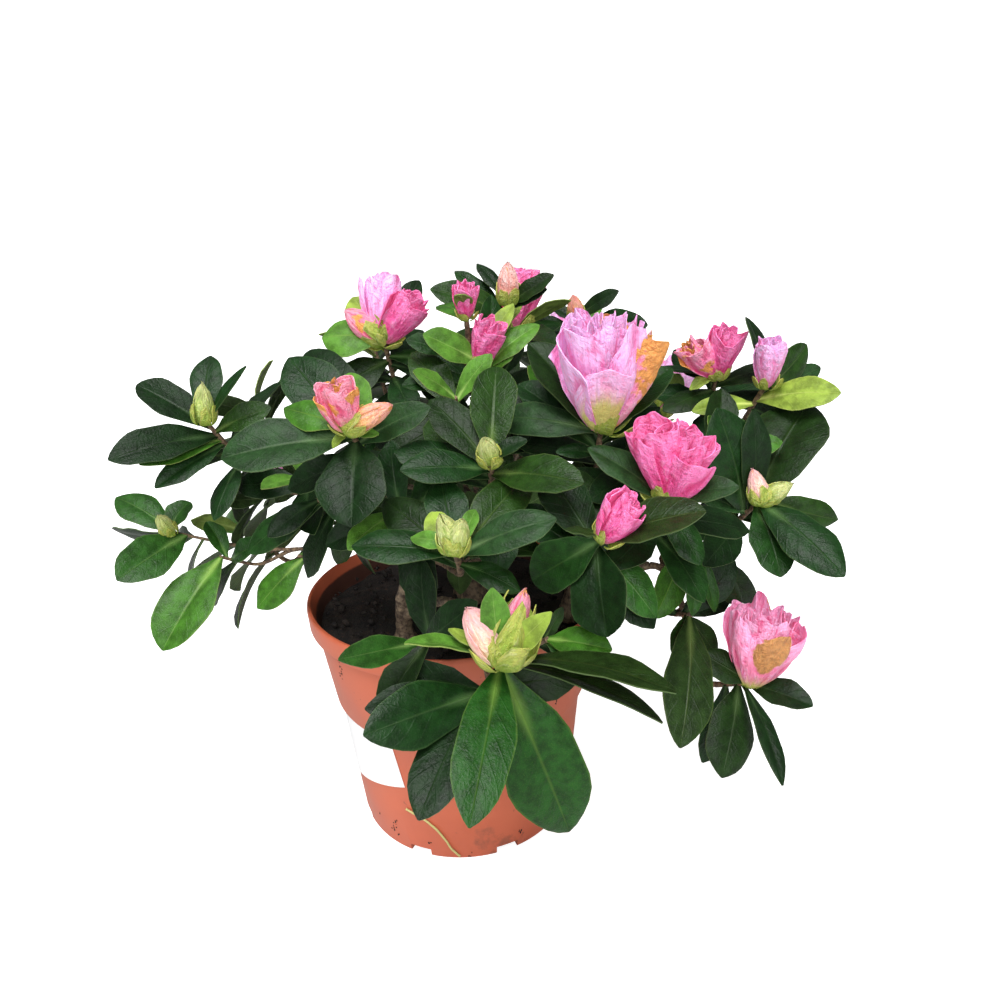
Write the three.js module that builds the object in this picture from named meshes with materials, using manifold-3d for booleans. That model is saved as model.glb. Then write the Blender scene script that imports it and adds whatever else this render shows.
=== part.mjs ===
// Pot azalea: a low, wide flowering shrub in a round plastic nursery pot.
// Millimetres, +Z up. The origin is the centre of the pot's flat underside, and the plant's front faces -Y.
import * as THREE from "three";
import { mergeVertices } from "three/addons/utils/BufferGeometryUtils.js";
import Module from "manifold-3d";

const wasm = await Module();
wasm.setup();

// Gap kept between two pieces that touch on the real plant
const GAP = 0.3;

// Pot
const POT_HEIGHT = 98;
const RIM_RADIUS = 60;
const BASE_RADIUS = 45;
const BODY_TOP_RADIUS = 50.4;
const COLLAR_RADIUS = 52.2;
const COLLAR_HEIGHT = 41;
const LIP_HEIGHT = 8;
const LIP_WIDTH = 1.6;
const WALL = 1.4;
const FLOOR = 1.8;
const POT_SIDES = 36;
const NOTCHES = 8;
const NOTCH_WIDTH = 9;
const NOTCH_HEIGHT = 3.5;
const NOTCH_DEPTH = 6;

// Compost, level where the stems stand
const COMPOST_TOP = 91;
const COMPOST_SIDES = 32;

// Stems rising from the compost: place of foot and tip, thickness at the foot and at the tip
const STEMS = {
  trunk: { foot: [6, 8], tip: [10, 14, 130], thick: 11, thin: 7 },
  stem_left: { foot: [-18, -32], tip: [-17, -38, 112], thick: 7, thin: 4.8 },
  stem_right: { foot: [45, -14], tip: [51, -20, 114], thick: 7, thin: 4.8 },
};
const FLARE = 0.5;
const FLARE_REACH = 0.25;
const STEM_SIDES = 8;
const STEM_STEPS = 6;

// Boughs, one from a stem to each mass of foliage, and the twigs inside the mass
const BOUGH_FOOT = 4.4;
const BOUGH_TIP = 3.2;
const BOUGH_SIDES = 5;
const BOUGH_STEPS = 4;
const TWIG_FOOT = 3.0;
const TWIG_TIP = 2.6;
const TWIG_SIDES = 3;
const TWIG_STEPS = 5;
const TWIG_BENT = 0.8;
const TWIG_END = 0.8;
const FORK_FIRST = 0.08;
const FORK_STEP = 0.12;
const FORK_TAPER = 0.86;

// Leaves: they sit on a twig in a spiral, the youngest and smallest at its tip
const SPIRAL_TURN = 137.5;
const LEAF_WIDTH = 0.48;
const LEAF_THICKNESS = 0.8;
const LEAF_BEND = 34;
const LEAF_SPACING = 2.1;
const YOUNGEST_SIZE = 0.62;
const FIRST_OPENING = 42;
const LAST_OPENING = 97;
const OPENING_CURVE = 0.6;
const BEARING_SPREAD = 8;
const OPENING_SPREAD = 6;
const LENGTH_SPREAD = 0.07;

// The photo's camera, fitted to the pot's rim, collar and foot: its place, how far it looks down and rolls,
// and its focal length and middle in pixels
const EYE = new THREE.Vector3(19, -280, 230);
const LOOKS_DOWN = 18.95;
const ROLL = -1.98;
const FOCAL_PIXELS = 751;
const PHOTO_MIDDLE = 500;

// A leaf that shows in the photo is given by its tip's pixel, its share of width, how squarely it faces the
// camera, how far it is stretched and whether it may lie over a blossom. Its length, side and twist are the
// cheapest of those tried. Lengths are shares of the shortest that reaches.
const LEAF_FACE = 0.85;
const LEAF_STRETCH = 1.08;
const LENGTHS_TRIED = [1.01, 1.04, 1.08, 1.15, 1.25];
const MOST_TWIST = 80;
const TWIST_STEP = 10;
const FOLDED_BACK = 120;
const MOST_COST = 2.6;
const COST = {
  face: 1.2,
  twist: 0.004,
  underside: 0.3,
  length: 0.5,
  behind: 0.1,
  short: 0.5,
  foldedBack: 0.3,
  blossom: 0.35,
};

// Pixels that leaves leave open: the pot's dark opening, the large blossom's foot and the label
const OPEN_PLACES = [
  { left: 315, right: 400, top: 560, bottom: 632, weight: 0.5 },
  { left: 595, right: 630, top: 425, bottom: 450, weight: 0.3 },
  { left: 345, right: 400, top: 715, bottom: 800, weight: 0.1 },
];
const HIDING_SHARES = [0.25, 0.45, 0.65, 0.85, 0.97];
const HIDING_ACROSS = [-0.8, 0, 0.8];
const HEAD_MIDDLE = 0.6;
const HEAD_SHARE = 0.85;

// Seeds of the draws
const FIRST_SEED = 101;
const SEED_STEP = 7;
const BACK_SEED = 72;

// Room kept round a leaf, and the small turns tried before a leaf that has none is left out
const LEAF_ROOM = 2.1;
const LEAF_ROOM_IN_MASS = 0.6;
const LEAF_REACH = 0.56;
const ROD_ROOM = 0.9;
const ROD_STEP = 3;
const POT_ROOM = 2;
const TRIES = [[0, 0], [9, 0], [-9, 0], [0, -9], [18, -5], [-18, -5], [0, 10], [26, 0], [-26, 0]];

// Blossom from bud to flower: length, radius, radius of the core that leaves keep off, and how far the widest
// place of a closed one lies above or below its middle
const BLOSSOMS = {
  small: { length: 13, radius: 3.6, core: 3.6, swell: -0.25 },
  bud: { length: 20, radius: 5.2, core: 5, swell: -0.25 },
  half: { length: 26, radius: 8, core: 7.5, swell: 0.35 },
  cup: { length: 30, radius: 13, core: 10.5, swell: 0.3 },
  bloom: { length: 34, radius: 16, core: 11, open: true },
};
const BUD_SIDES = 6;
const BUD_RINGS = 4;
const FLOWER_SIDES = 10;
const RUFFLE = 0.13;
const RUFFLE_LOBES = 5;

// The planting plan. Each mass of foliage grows from one bough: the stem it leaves, where along it, how far
// the bough bows upward, and where given the place of its end (turn round the pot's axis, reach, height).
// A shoot has the place of its tip as turn, reach and height, how far it leans from upright and toward
// which turn, and its blossoms and first leaves from the tip down. seen is the pixel where a tip shows
// in the photo, read by eye, and behind marks a blossom that points away. spiral gives the number of further
// leaves, the length of a full one and the bearing of the first.
const MASSES = [
  { name: "front_low", stem: "stem_left", leave: 0.45, rise: 5, hub: [272, 56, 118], shoots: [
    {
      tip: [281, 92, 116], lean: [55, 272], spiral: [2, 28, 230],
      blossom: [
        { kind: "bud", seen: [466, 607], size: 1.05 }, { kind: "small", seen: [526, 590], size: 1.85 },
      ],
      leaves: [
        { seen: [492, 588], width: 0.4, over: true },
        { seen: [520, 602], width: 0.62, stretch: 1.12, over: true },
        { seen: [552, 612], width: 0.3, face: 0.5, over: true },
        { seen: [448, 630], width: 0.34, face: 0.6, over: true },
        { seen: [404, 644], width: 0.3, face: 0.4 }, { seen: [469, 828], width: 0.36, stretch: 1.12 },
        { seen: [568, 831], width: 0.45, stretch: 1.15 }, { seen: [676, 694], width: 0.3, face: 0.35 },
        { seen: [663, 722], width: 0.24, face: 0.4 },
      ],
    },
    {
      tip: [278, 83, 100], lean: [60, 262], spiral: [2, 30, 300],
      blossom: [],
      leaves: [
        { seen: [363, 735] }, { seen: [418, 820], width: 0.44 }, { seen: [365, 710], width: 0.36 },
      ],
    },
    {
      tip: [264, 76, 114], lean: [65, 240], spiral: [3, 26, 60],
      blossom: [],
      leaves: [{ seen: [338, 660], width: 0.36 }, { seen: [386, 580], width: 0.5 }],
    },
    {
      tip: [294, 79, 112], lean: [55, 290], spiral: [3, 26, 200],
      blossom: [],
      leaves: [
        { seen: [612, 650], width: 0.55 }, { seen: [585, 676], width: 0.4 },
        { seen: [562, 607], width: 0.42 },
      ],
    },
  ] },
  { name: "front_middle", stem: "stem_left", leave: 1, rise: 10, shoots: [
    {
      tip: [274, 84, 149], lean: [50, 270], spiral: [2, 28, 175],
      blossom: [{ kind: "small", seen: [440, 515] }, { kind: "small", seen: [462, 520] }],
      leaves: [
        { seen: [411, 538], width: 0.42 }, { seen: [430, 513], width: 0.6 },
        { seen: [475, 510], width: 0.4 }, { seen: [352, 546], width: 0.44 },
        { seen: [556, 518], width: 0.42 }, { seen: [527, 474], width: 0.42 },
        { seen: [440, 478], width: 0.5 }, { seen: [384, 500], width: 0.44 },
        { seen: [520, 592], width: 0.45 },
      ],
    },
    {
      tip: [286, 60, 167], lean: [40, 270], spiral: [5, 34, 120],
      blossom: [{ kind: "small", seen: [484, 436] }],
      leaves: [{ seen: [527, 440] }, { seen: [497, 367] }, { seen: [430, 400] }, { seen: [400, 470] }],
    },
    { tip: [254, 52, 149], lean: [50, 255], spiral: [8, 30, 60], blossom: [], leaves: [] },
  ] },
  { name: "front_right", stem: "stem_right", leave: 0.8, rise: 6, shoots: [
    {
      tip: [303, 90, 147], lean: [50, 285], spiral: [4, 30, 10],
      blossom: [{ kind: "half", seen: [637, 492], size: 0.75 }],
      leaves: [
        { seen: [565, 530], width: 0.3, face: 0.5 }, { seen: [532, 580], width: 0.62 },
        { seen: [706, 511], width: 0.55 }, { seen: [608, 637], width: 0.78 },
        { seen: [545, 471], width: 0.6 }, { seen: [655, 618], width: 0.5 },
      ],
    },
    {
      tip: [319, 94, 154], lean: [30, 290], spiral: [6, 30, 200],
      blossom: [
        { kind: "half", seen: [650, 422], size: 1.05 }, { kind: "half", seen: [696, 434], size: 0.95 },
      ],
      leaves: [
        { seen: [739, 488], width: 0.44 }, { seen: [588, 448], width: 0.42 },
        { seen: [700, 565], width: 0.5 },
      ],
    },
    { tip: [325, 79, 158], lean: [50, 290], spiral: [7, 30, 330], blossom: [], leaves: [] },
  ] },
  { name: "left_front", stem: "trunk", leave: 0.78, rise: 6, shoots: [
    {
      tip: [244, 61, 178], lean: [45, 262], spiral: [2, 28, 120],
      blossom: [{ kind: "half", seen: [332, 383], size: 0.65 }, { kind: "bud", seen: [398, 402] }],
      leaves: [
        { seen: [284, 408], width: 0.5 }, { seen: [333, 448], width: 0.42 },
        { seen: [379, 434], width: 0.42 }, { seen: [221, 458], width: 0.5 },
        { seen: [352, 527], width: 0.8 }, { seen: [431, 408], width: 0.42 },
        { seen: [288, 358], width: 0.5 }, { seen: [350, 373], width: 0.5 },
        { seen: [312, 350], width: 0.45 },
      ],
    },
    {
      tip: [222, 57, 149], lean: [60, 230], spiral: [2, 28, 60],
      blossom: [],
      leaves: [
        { seen: [268, 537], width: 0.48 }, { seen: [247, 552], width: 0.4 },
        { seen: [345, 500], width: 0.5 },
      ],
    },
    { tip: [197, 55, 150], lean: [45, 250], spiral: [5, 30, 208], blossom: [], leaves: [] },
  ] },
  { name: "left", stem: "trunk", leave: 0.62, rise: 8, shoots: [
    {
      tip: [190, 87, 173], lean: [35, 240], spiral: [4, 28, 110],
      blossom: [{ kind: "small", seen: [202, 384], size: 1.15 }],
      leaves: [
        { seen: [211, 356], width: 0.48 }, { seen: [246, 366], width: 0.2, face: 0.5 },
        { seen: [137, 385], width: 0.46 }, { seen: [271, 407], width: 0.48 },
        { seen: [108, 460], width: 0.42 }, { seen: [139, 464], width: 0.36 },
        { seen: [155, 488], width: 0.36 }, { seen: [284, 382], width: 0.24, face: 0.5 },
      ],
    },
  ] },
  { name: "left_low", stem: "trunk", leave: 0.5, rise: 8, hub: [206, 42, 126], shoots: [
    {
      tip: [188, 107, 131], lean: [65, 205], spiral: [3, 22, 250],
      blossom: [{ kind: "small", seen: [158, 515] }],
      leaves: [
        { seen: [190, 502], width: 0.8 }, { seen: [116, 498], width: 0.48 },
        { seen: [112, 528], width: 0.4 }, { seen: [117, 581], width: 0.6 },
      ],
    },
    {
      tip: [197.5, 60, 120.5], lean: [72, 200], spiral: [0, 22, 60],
      blossom: [],
      leaves: [{ seen: [337, 529], width: 0.4 }, { seen: [257, 608], width: 0.56 }],
    },
    {
      tip: [190, 89, 120], lean: [60, 220], spiral: [2, 22, 60],
      blossom: [],
      leaves: [{ seen: [163, 651], width: 0.56 }, { seen: [206, 522], width: 0.5 }],
    },
  ] },
  { name: "top_left", stem: "trunk", leave: 0.9, rise: 2, shoots: [
    {
      tip: [148, 28, 196], lean: [30, 262], spiral: [6, 28, 230],
      blossom: [
        { kind: "half", seen: [380, 276], behind: true }, { kind: "half", seen: [418, 291] },
        { kind: "bud", seen: [336, 304], behind: true, size: 1.2 },
      ],
      leaves: [
        { seen: [322, 338], width: 0.78 }, { seen: [386, 292], width: 0.5, over: true },
        { seen: [419, 281], width: 0.36, over: true }, { seen: [353, 297], width: 0.6, over: true },
        { seen: [471, 370], width: 0.38 }, { seen: [338, 392], width: 0.7 },
        { seen: [470, 386], width: 0.3 },
      ],
    },
  ] },
  { name: "top", stem: "trunk", leave: 1, rise: 0, shoots: [
    {
      tip: [329, 16, 189], lean: [30, 268], spiral: [5, 28, 150],
      blossom: [{ kind: "half", seen: [489, 315], size: 0.75 }],
      leaves: [
        { seen: [423, 334], width: 0.52 }, { seen: [513, 304], width: 0.32 },
        { seen: [539, 325], width: 0.4 }, { seen: [513, 356], width: 0.36 },
        { seen: [491, 295], width: 0.36 }, { seen: [402, 385], width: 0.34 },
      ],
    },
    {
      tip: [45, 35, 208], lean: [25, 270], spiral: [6, 26, 0],
      blossom: [{ kind: "bud", seen: [508, 264], size: 0.8 }],
      leaves: [
        { seen: [477, 264], width: 0.36 }, { seen: [554, 275], width: 0.4 },
        { seen: [547, 289], width: 0.34 }, { seen: [430, 290], width: 0.42 },
        { seen: [455, 272], width: 0.3 }, { seen: [522, 300], width: 0.3 },
      ],
    },
    { tip: [282, 22, 179], lean: [40, 262], spiral: [8, 30, 270], blossom: [], leaves: [] },
    {
      tip: [320, 12, 206], lean: [20, 262], spiral: [2, 24, 180],
      blossom: [{ kind: "half", seen: [466, 284], size: 0.5 }],
      leaves: [],
    },
  ] },
  { name: "top_right", stem: "trunk", leave: 0.86, rise: 2, shoots: [
    {
      tip: [45, 78, 198], lean: [25, 275], spiral: [8, 26, 260],
      blossom: [{ kind: "small", seen: [573, 296] }],
      leaves: [
        { seen: [619, 291], width: 0.38 }, { seen: [553, 306], width: 0.5 },
        { seen: [602, 306], width: 0.5 }, { seen: [518, 322], width: 0.36 },
        { seen: [648, 325], width: 0.5 },
      ],
    },
  ] },
  { name: "centre_right", stem: "trunk", leave: 0.75, rise: 6, shoots: [
    {
      tip: [319, 69, 173], lean: [30, 270], spiral: [5, 30, 160],
      blossom: [
        { kind: "cup", seen: [596, 320], size: 1.2 },
        { kind: "half", seen: [645, 312], behind: true, size: 1.5 },
      ],
      leaves: [
        { seen: [628, 436], width: 0.3, face: 0.5 }, { seen: [490, 417], width: 0.36 },
        { seen: [528, 344], width: 0.46 }, { seen: [672, 369], width: 0.5 },
        { seen: [660, 408], width: 0.36 }, { seen: [518, 385], width: 0.42 },
        { seen: [556, 452], width: 0.4 },
      ],
    },
    { tip: [343, 42, 171], lean: [35, 275], spiral: [8, 32, 312], blossom: [], leaves: [] },
  ] },
  { name: "right_high", stem: "trunk", leave: 0.6, rise: 12, shoots: [
    {
      tip: [8, 107, 178], lean: [30, 265], spiral: [7, 28, 90],
      blossom: [
        { kind: "half", seen: [686, 345], size: 0.75 }, { kind: "half", seen: [729, 325], size: 0.85 },
        { kind: "bud", seen: [723, 350], size: 0.65 },
      ],
      leaves: [
        { seen: [690, 390], width: 0.4, stretch: 1.2 }, { seen: [648, 370], width: 0.2, face: 0.4 },
        { seen: [674, 350], width: 0.5 },
      ],
    },
    {
      tip: [358, 119, 177], lean: [35, 290], spiral: [4, 28, 180],
      blossom: [{ kind: "half", seen: [773, 337], size: 0.75 }],
      leaves: [
        { seen: [777, 380], width: 0.7, stretch: 1.3 }, { seen: [746, 317], width: 0.52 },
        { seen: [807, 345], width: 0.5 }, { seen: [820, 367], width: 0.3 },
        { seen: [841, 393], width: 0.48 }, { seen: [692, 411], width: 0.36 },
      ],
    },
  ] },
  { name: "right", stem: "stem_right", leave: 0.98, rise: 8, shoots: [
    {
      tip: [342, 115, 143], lean: [45, 290], spiral: [3, 30, 104],
      blossom: [
        { kind: "small", seen: [752, 468], size: 1.05 }, { kind: "small", seen: [794, 483], size: 1.05 },
      ],
      leaves: [
        { seen: [838, 519], width: 0.42 }, { seen: [844, 577], width: 0.46 },
        { seen: [781, 577], width: 0.62 }, { seen: [808, 404], width: 0.68, face: 0.9, stretch: 1.1 },
        { seen: [754, 410], width: 0.34 }, { seen: [693, 490], width: 0.45 },
        { seen: [716, 408], width: 0.5 },
      ],
    },
    { tip: [346, 101, 156], lean: [45, 285], spiral: [7, 30, 320], blossom: [], leaves: [] },
  ] },
  { name: "right_low", stem: "stem_right", leave: 0.45, rise: 4, hub: [336, 79, 118], shoots: [
    {
      tip: [334, 117, 80], lean: [60, 300], spiral: [2, 28, 80],
      blossom: [{ kind: "cup", seen: [770, 603], size: 1.05 }],
      leaves: [
        { seen: [700, 652], width: 0.6 }, { seen: [813, 706], width: 0.5 },
        { seen: [783, 786], width: 0.22, face: 0.7 }, { seen: [722, 778], width: 0.58 },
        { seen: [748, 603], width: 0.5 },
      ],
    },
    {
      tip: [338, 95, 127], lean: [60, 300], spiral: [3, 26, 60],
      blossom: [],
      leaves: [
        { seen: [692, 616], width: 0.32 }, { seen: [714, 612], width: 0.26 },
        { seen: [741, 606], width: 0.3 }, { seen: [757, 602], width: 0.3 },
        { seen: [653, 618], width: 0.5 },
      ],
    },
    {
      tip: [332, 95, 104], lean: [65, 280], spiral: [4, 26, 26],
      blossom: [],
      leaves: [
        { seen: [680, 748], width: 0.42 }, { seen: [674, 656], width: 0.62 },
        { seen: [716, 655], width: 0.5 },
      ],
    },
  ] },
];

// The back of the crown, out of the front's sight, in even sectors. Each has an upper and a lower shoot, and
// some a third near the crown's top: reach and height of its tip, turn off the sector's middle, and lean.
const BACK = {
  firstTurn: 28,
  turnStep: 33,
  leave: [0.78, 0.62],
  rise: 8,
  shoots: [
    { reach: 94, height: 162, offset: 0, lean: 38 },
    { reach: 92, height: 124, offset: 14, lean: 52 },
    { reach: 50, height: 192, offset: -4, lean: 22 },
  ],
  turnSpread: 4,
  placeSpread: 6,
  spiral: [9, 37],
  headOpening: 8,
  headStep: 20,
};

// Kinds of blossom on the shoots of each sector
const BACK_BLOSSOM = [
  [["half", "half"], ["bud"]],
  [["bloom"], [], ["half"]],
  [["half", "half"], ["bud"]],
  [[], ["half"], []],
  [[], []],
];

const GREEN = 0x2f5a36;
const BARK = 0x7a5f48;
const TERRACOTTA = 0xc4694b;
const PEAT = 0x2a1d16;

const radians = THREE.MathUtils.degToRad;
const mix = THREE.MathUtils.lerp;
const clamp = THREE.MathUtils.clamp;
const UP = new THREE.Vector3(0, 0, 1);

function polar(turn, reach, height) {
  return new THREE.Vector3(reach * Math.cos(radians(turn)), reach * Math.sin(radians(turn)), height);
}

function leaning(lean, toward) {
  return polar(toward, Math.sin(radians(lean)), Math.cos(radians(lean)));
}

function along(from, direction, distance) {
  return from.clone().addScaledVector(direction, distance);
}

// A seeded draw, the same on every run
class Draw {
  constructor(seed) {
    this.state = seed;
  }

  next() {
    this.state = (this.state * 1664525 + 1013904223) % 4294967296;
    return this.state / 4294967296;
  }

  around(spread) {
    return (2 * this.next() - 1) * spread;
  }
}

// A direction off a shoot's line: the bearing is read like a clock facing the shoot's tip, with 0 on top
function heading(axis, bearing, opening) {
  const top = UP.clone().addScaledVector(axis, -axis.z).normalize();
  const right = top.clone().cross(axis);
  const outward = top.multiplyScalar(Math.cos(radians(bearing)));
  outward.addScaledVector(right, Math.sin(radians(bearing)));
  const ahead = axis.clone().multiplyScalar(Math.cos(radians(opening)));
  return ahead.addScaledVector(outward, Math.sin(radians(opening)));
}

// The place of a point in the photo, in pixels, and how far it is from the camera along its view
const VIEW = photoView();
function photoView() {
  const down = radians(LOOKS_DOWN);
  const level = new THREE.Vector3(1, 0, 0);
  const upright = new THREE.Vector3(0, Math.sin(down), Math.cos(down));
  const roll = radians(ROLL);
  return {
    ahead: new THREE.Vector3(0, Math.cos(down), -Math.sin(down)),
    right: along(level.clone().multiplyScalar(Math.cos(roll)), upright, Math.sin(roll)),
    up: along(upright.clone().multiplyScalar(Math.cos(roll)), level, -Math.sin(roll)),
  };
}

function inPhoto(point) {
  const offset = point.clone().sub(EYE);
  const depth = offset.dot(VIEW.ahead);
  const x = PHOTO_MIDDLE + FOCAL_PIXELS * offset.dot(VIEW.right) / depth;
  const y = PHOTO_MIDDLE - FOCAL_PIXELS * offset.dot(VIEW.up) / depth;
  return { x, y, depth };
}

function sightLine([x, y]) {
  const across = along(VIEW.ahead, VIEW.right, (x - PHOTO_MIDDLE) / FOCAL_PIXELS);
  return along(across, VIEW.up, (PHOTO_MIDDLE - y) / FOCAL_PIXELS).normalize();
}

// The bearing and opening, in whole degrees, that bring the end of a straight reach to a place in the photo,
// on the near or the far side. A reach that is too short comes as near as it can.
function aim(foot, axis, seen, reach, behind) {
  const sight = sightLine(seen);
  const back = EYE.clone().sub(foot);
  const middle = -back.dot(sight);
  const square = middle * middle - back.dot(back) + reach * reach;
  const half = Math.sqrt(Math.max(0, square));
  const way = along(EYE, sight, behind ? middle + half : middle - half).sub(foot).normalize();
  const top = UP.clone().addScaledVector(axis, -axis.z).normalize();
  const right = top.clone().cross(axis);
  const bearing = THREE.MathUtils.radToDeg(Math.atan2(way.dot(right), way.dot(top)));
  const opening = THREE.MathUtils.radToDeg(Math.acos(clamp(way.dot(axis), -1, 1)));
  return { bearing: Math.round((bearing + 360) % 360), opening: Math.round(opening), short: square < 0 };
}

// Half width of a leaf from its foot, 0, to its tip, 1: narrow foot, widest past the middle, blunt tip
const FOOT_SHAPE = 1.1;
const TIP_SHAPE = 0.62;
const WIDEST = FOOT_SHAPE / (FOOT_SHAPE + TIP_SHAPE);
function outline(share) {
  const t = clamp(share, 0, 1);
  const shape = (s) => s ** FOOT_SHAPE * (1 - s) ** TIP_SHAPE;
  return shape(t) / shape(WIDEST);
}

// A leaf is a blade bent along an arc, away from its shoot's line, and twisted about its own line
class Leaf {
  constructor(shoot, foot, [bearing, opening, length, twist = 0, width = LEAF_WIDTH]) {
    const chord = heading(shoot.axis, bearing, opening);
    const start = opening - LEAF_BEND / 2;
    this.shoot = shoot;
    this.foot = foot;
    this.length = length;
    this.width = length * width;
    this.ahead = heading(shoot.axis, bearing, start).applyAxisAngle(chord, radians(twist));
    this.top = heading(shoot.axis, bearing, start + 90).negate().applyAxisAngle(chord, radians(twist));
    this.side = this.ahead.clone().cross(this.top);
    this.arc = radians(LEAF_BEND);
    this.radius = length / this.arc;
  }

  half(share) {
    return this.width / 2 * outline(share);
  }

  at(share, across = 0, lift = 0) {
    const turn = share * this.arc;
    const radius = this.radius + lift;
    const point = along(this.foot, this.ahead, radius * Math.sin(turn));
    point.addScaledVector(this.top, radius * Math.cos(turn) - this.radius);
    return point.addScaledVector(this.side, across * this.half(share));
  }

  local(point) {
    const offset = point.clone().sub(this.foot);
    const ahead = offset.dot(this.ahead);
    const above = offset.dot(this.top) + this.radius;
    return {
      share: Math.atan2(ahead, above) / this.arc,
      across: offset.dot(this.side),
      lift: Math.hypot(ahead, above) - this.radius,
    };
  }

  covers(spot, room) {
    const onLength = spot.share > NET_SHARES[0] && spot.share < 1 + room / this.length;
    return onLength && Math.abs(spot.across) < this.half(spot.share) + room;
  }

  // The lines of a coarse net over the blade
  net() {
    const rows = NET_SHARES.map((share) => NET_ACROSS.map((across) => this.at(share, across)));
    const lines = [];
    rows.forEach((row, index) => {
      for (let k = 1; k < row.length; k += 1) lines.push([row[k - 1], row[k]]);
      if (index > 0) row.forEach((point, k) => lines.push([rows[index - 1][k], point]));
    });
    return lines;
  }
}
const NET_SHARES = [0.12, 0.32, 0.52, 0.72, 0.9, 1];
const NET_ACROSS = [-0.9, 0, 0.9];
const NET_STEPS = 3;

// True where a line comes within the room of a leaf's blade, or passes through it
function lineMeetsLeaf([from, to], leaf, room) {
  let before = null;
  for (let step = 0; step <= NET_STEPS; step += 1) {
    const spot = leaf.local(from.clone().lerp(to, step / NET_STEPS));
    const over = leaf.covers(spot, room);
    if (over && Math.abs(spot.lift) < room) return true;
    if (over && before !== null && before * spot.lift < 0) return true;
    before = over ? spot.lift : null;
  }
  return false;
}

function leavesMeet(one, other) {
  if (one.at(0.5).distanceTo(other.at(0.5)) > (one.length + other.length) * LEAF_REACH) return false;
  const room = one.shoot.mass === other.shoot.mass ? LEAF_ROOM_IN_MASS : LEAF_ROOM;
  const meets = (a, b) => a.net().some((line) => lineMeetsLeaf(line, b, room));
  return meets(one, other) || meets(other, one);
}

// A rod is a stretch of stem, bough, twig or blossom: two ends and a radius. Leaves may hug those of their
// own shoot, and keep off the outer part of its blossom only.
const HEAD_OUTER = 0.7;
const HEAD_ROOM = 0.45;
function rodMeetsLeaf(rod, leaf) {
  if (rod.shoot === leaf.shoot) return !rod.bare && headMeetsLeaf(rod, leaf);
  const steps = Math.ceil(rod.from.distanceTo(rod.to) / ROD_STEP);
  for (let step = 0; step <= steps; step += 1) {
    const spot = leaf.local(rod.from.clone().lerp(rod.to, step / steps));
    if (leaf.covers(spot, rod.radius) && Math.abs(spot.lift) < rod.radius + ROD_ROOM) return true;
  }
  return false;
}

function headMeetsLeaf(rod, leaf) {
  const spot = leaf.local(rod.from.clone().lerp(rod.to, HEAD_OUTER));
  return leaf.covers(spot, 0) && Math.abs(spot.lift) < rod.radius * HEAD_ROOM;
}

function meetsPot(leaf) {
  const inPot = (point) => {
    const share = clamp(point.z / POT_HEIGHT, 0, 1);
    const wall = mix(BASE_RADIUS, RIM_RADIUS, share) + POT_ROOM;
    return point.z < POT_HEIGHT + POT_ROOM && Math.hypot(point.x, point.y) < wall;
  };
  return leaf.net().some(([from, to]) => inPot(from) || inPot(to));
}

// Shoots with their places and lines worked out
const HEAD_SUNK = -1.5;
const BARE_FOOT = 3;
function makeShoot(row, mass, seed) {
  const tip = polar(...row.tip);
  const axis = leaning(...row.lean);
  const heads = row.blossom.map((blossom) => {
    const { kind, size = 1, seen, behind } = blossom;
    const { length, radius, core } = BLOSSOMS[kind];
    const sizes = { length: length * size, radius: radius * size, core: core * size };
    const way = seen ? aim(tip, axis, seen, sizes.length + HEAD_SUNK, behind) : blossom;
    const direction = heading(axis, way.bearing, way.opening);
    return { ...BLOSSOMS[kind], ...sizes, foot: along(tip, direction, HEAD_SUNK), direction };
  });
  const count = row.leaves.length + row.spiral[0];
  const low = along(tip, axis, -(count * LEAF_SPACING + BARE_FOOT));
  return { ...row, tip, axis, heads, count, low, mass, seed };
}

function backShoot(place, turn, kinds, draw) {
  const spread = draw.around(BACK.turnSpread);
  const reach = place.reach + draw.around(BACK.placeSpread);
  const height = place.height + draw.around(BACK.placeSpread);
  const blossom = kinds.map((kind, k) => {
    return { kind, bearing: draw.next() * 360, opening: BACK.headOpening + BACK.headStep * k };
  });
  return {
    tip: [turn + place.offset + spread, reach, height],
    lean: [place.lean, turn + place.offset],
    blossom,
    spiral: [...BACK.spiral, draw.next() * 360],
    leaves: [],
  };
}

function backMasses() {
  return BACK_BLOSSOM.map((blossom, index) => {
    const draw = new Draw(BACK_SEED + index);
    const turn = BACK.firstTurn + index * BACK.turnStep;
    const shoots = blossom.map((kinds, k) => backShoot(BACK.shoots[k], turn, kinds, draw));
    const leave = BACK.leave[index % BACK.leave.length];
    return { name: `back_${index + 1}`, stem: "trunk", leave, rise: BACK.rise, shoots };
  });
}

// Stems
function stemCurve({ foot, tip }) {
  const from = new THREE.Vector3(foot[0], foot[1], COMPOST_TOP + GAP);
  const to = new THREE.Vector3(...tip);
  const middle = new THREE.Vector3(from.x, from.y, mix(from.z, to.z, 0.5));
  return new THREE.QuadraticBezierCurve3(from, middle, to);
}

// A twig leaves along the limb that carries it, bends to its shoot's line and runs straight under the leaves
class Twig extends THREE.Curve {
  constructor(shoot, from, onward) {
    super();
    const span = from.distanceTo(shoot.low);
    const leaving = along(from, onward, TWIG_LEAVING * span);
    const arriving = along(shoot.low, shoot.axis, -TWIG_ARRIVING * span);
    this.bent = new THREE.CubicBezierCurve3(from, leaving, arriving, shoot.low);
    this.straight = new THREE.LineCurve3(shoot.low, along(shoot.tip, shoot.axis, TWIG_END));
  }

  stretch(share) {
    if (share <= TWIG_BENT) return [this.bent, share / TWIG_BENT];
    return [this.straight, (share - TWIG_BENT) / (1 - TWIG_BENT)];
  }

  getPoint(share) {
    const [curve, local] = this.stretch(share);
    return curve.getPoint(local);
  }

  getTangent(share) {
    const [curve, local] = this.stretch(share);
    return curve.getTangent(local);
  }
}

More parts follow.
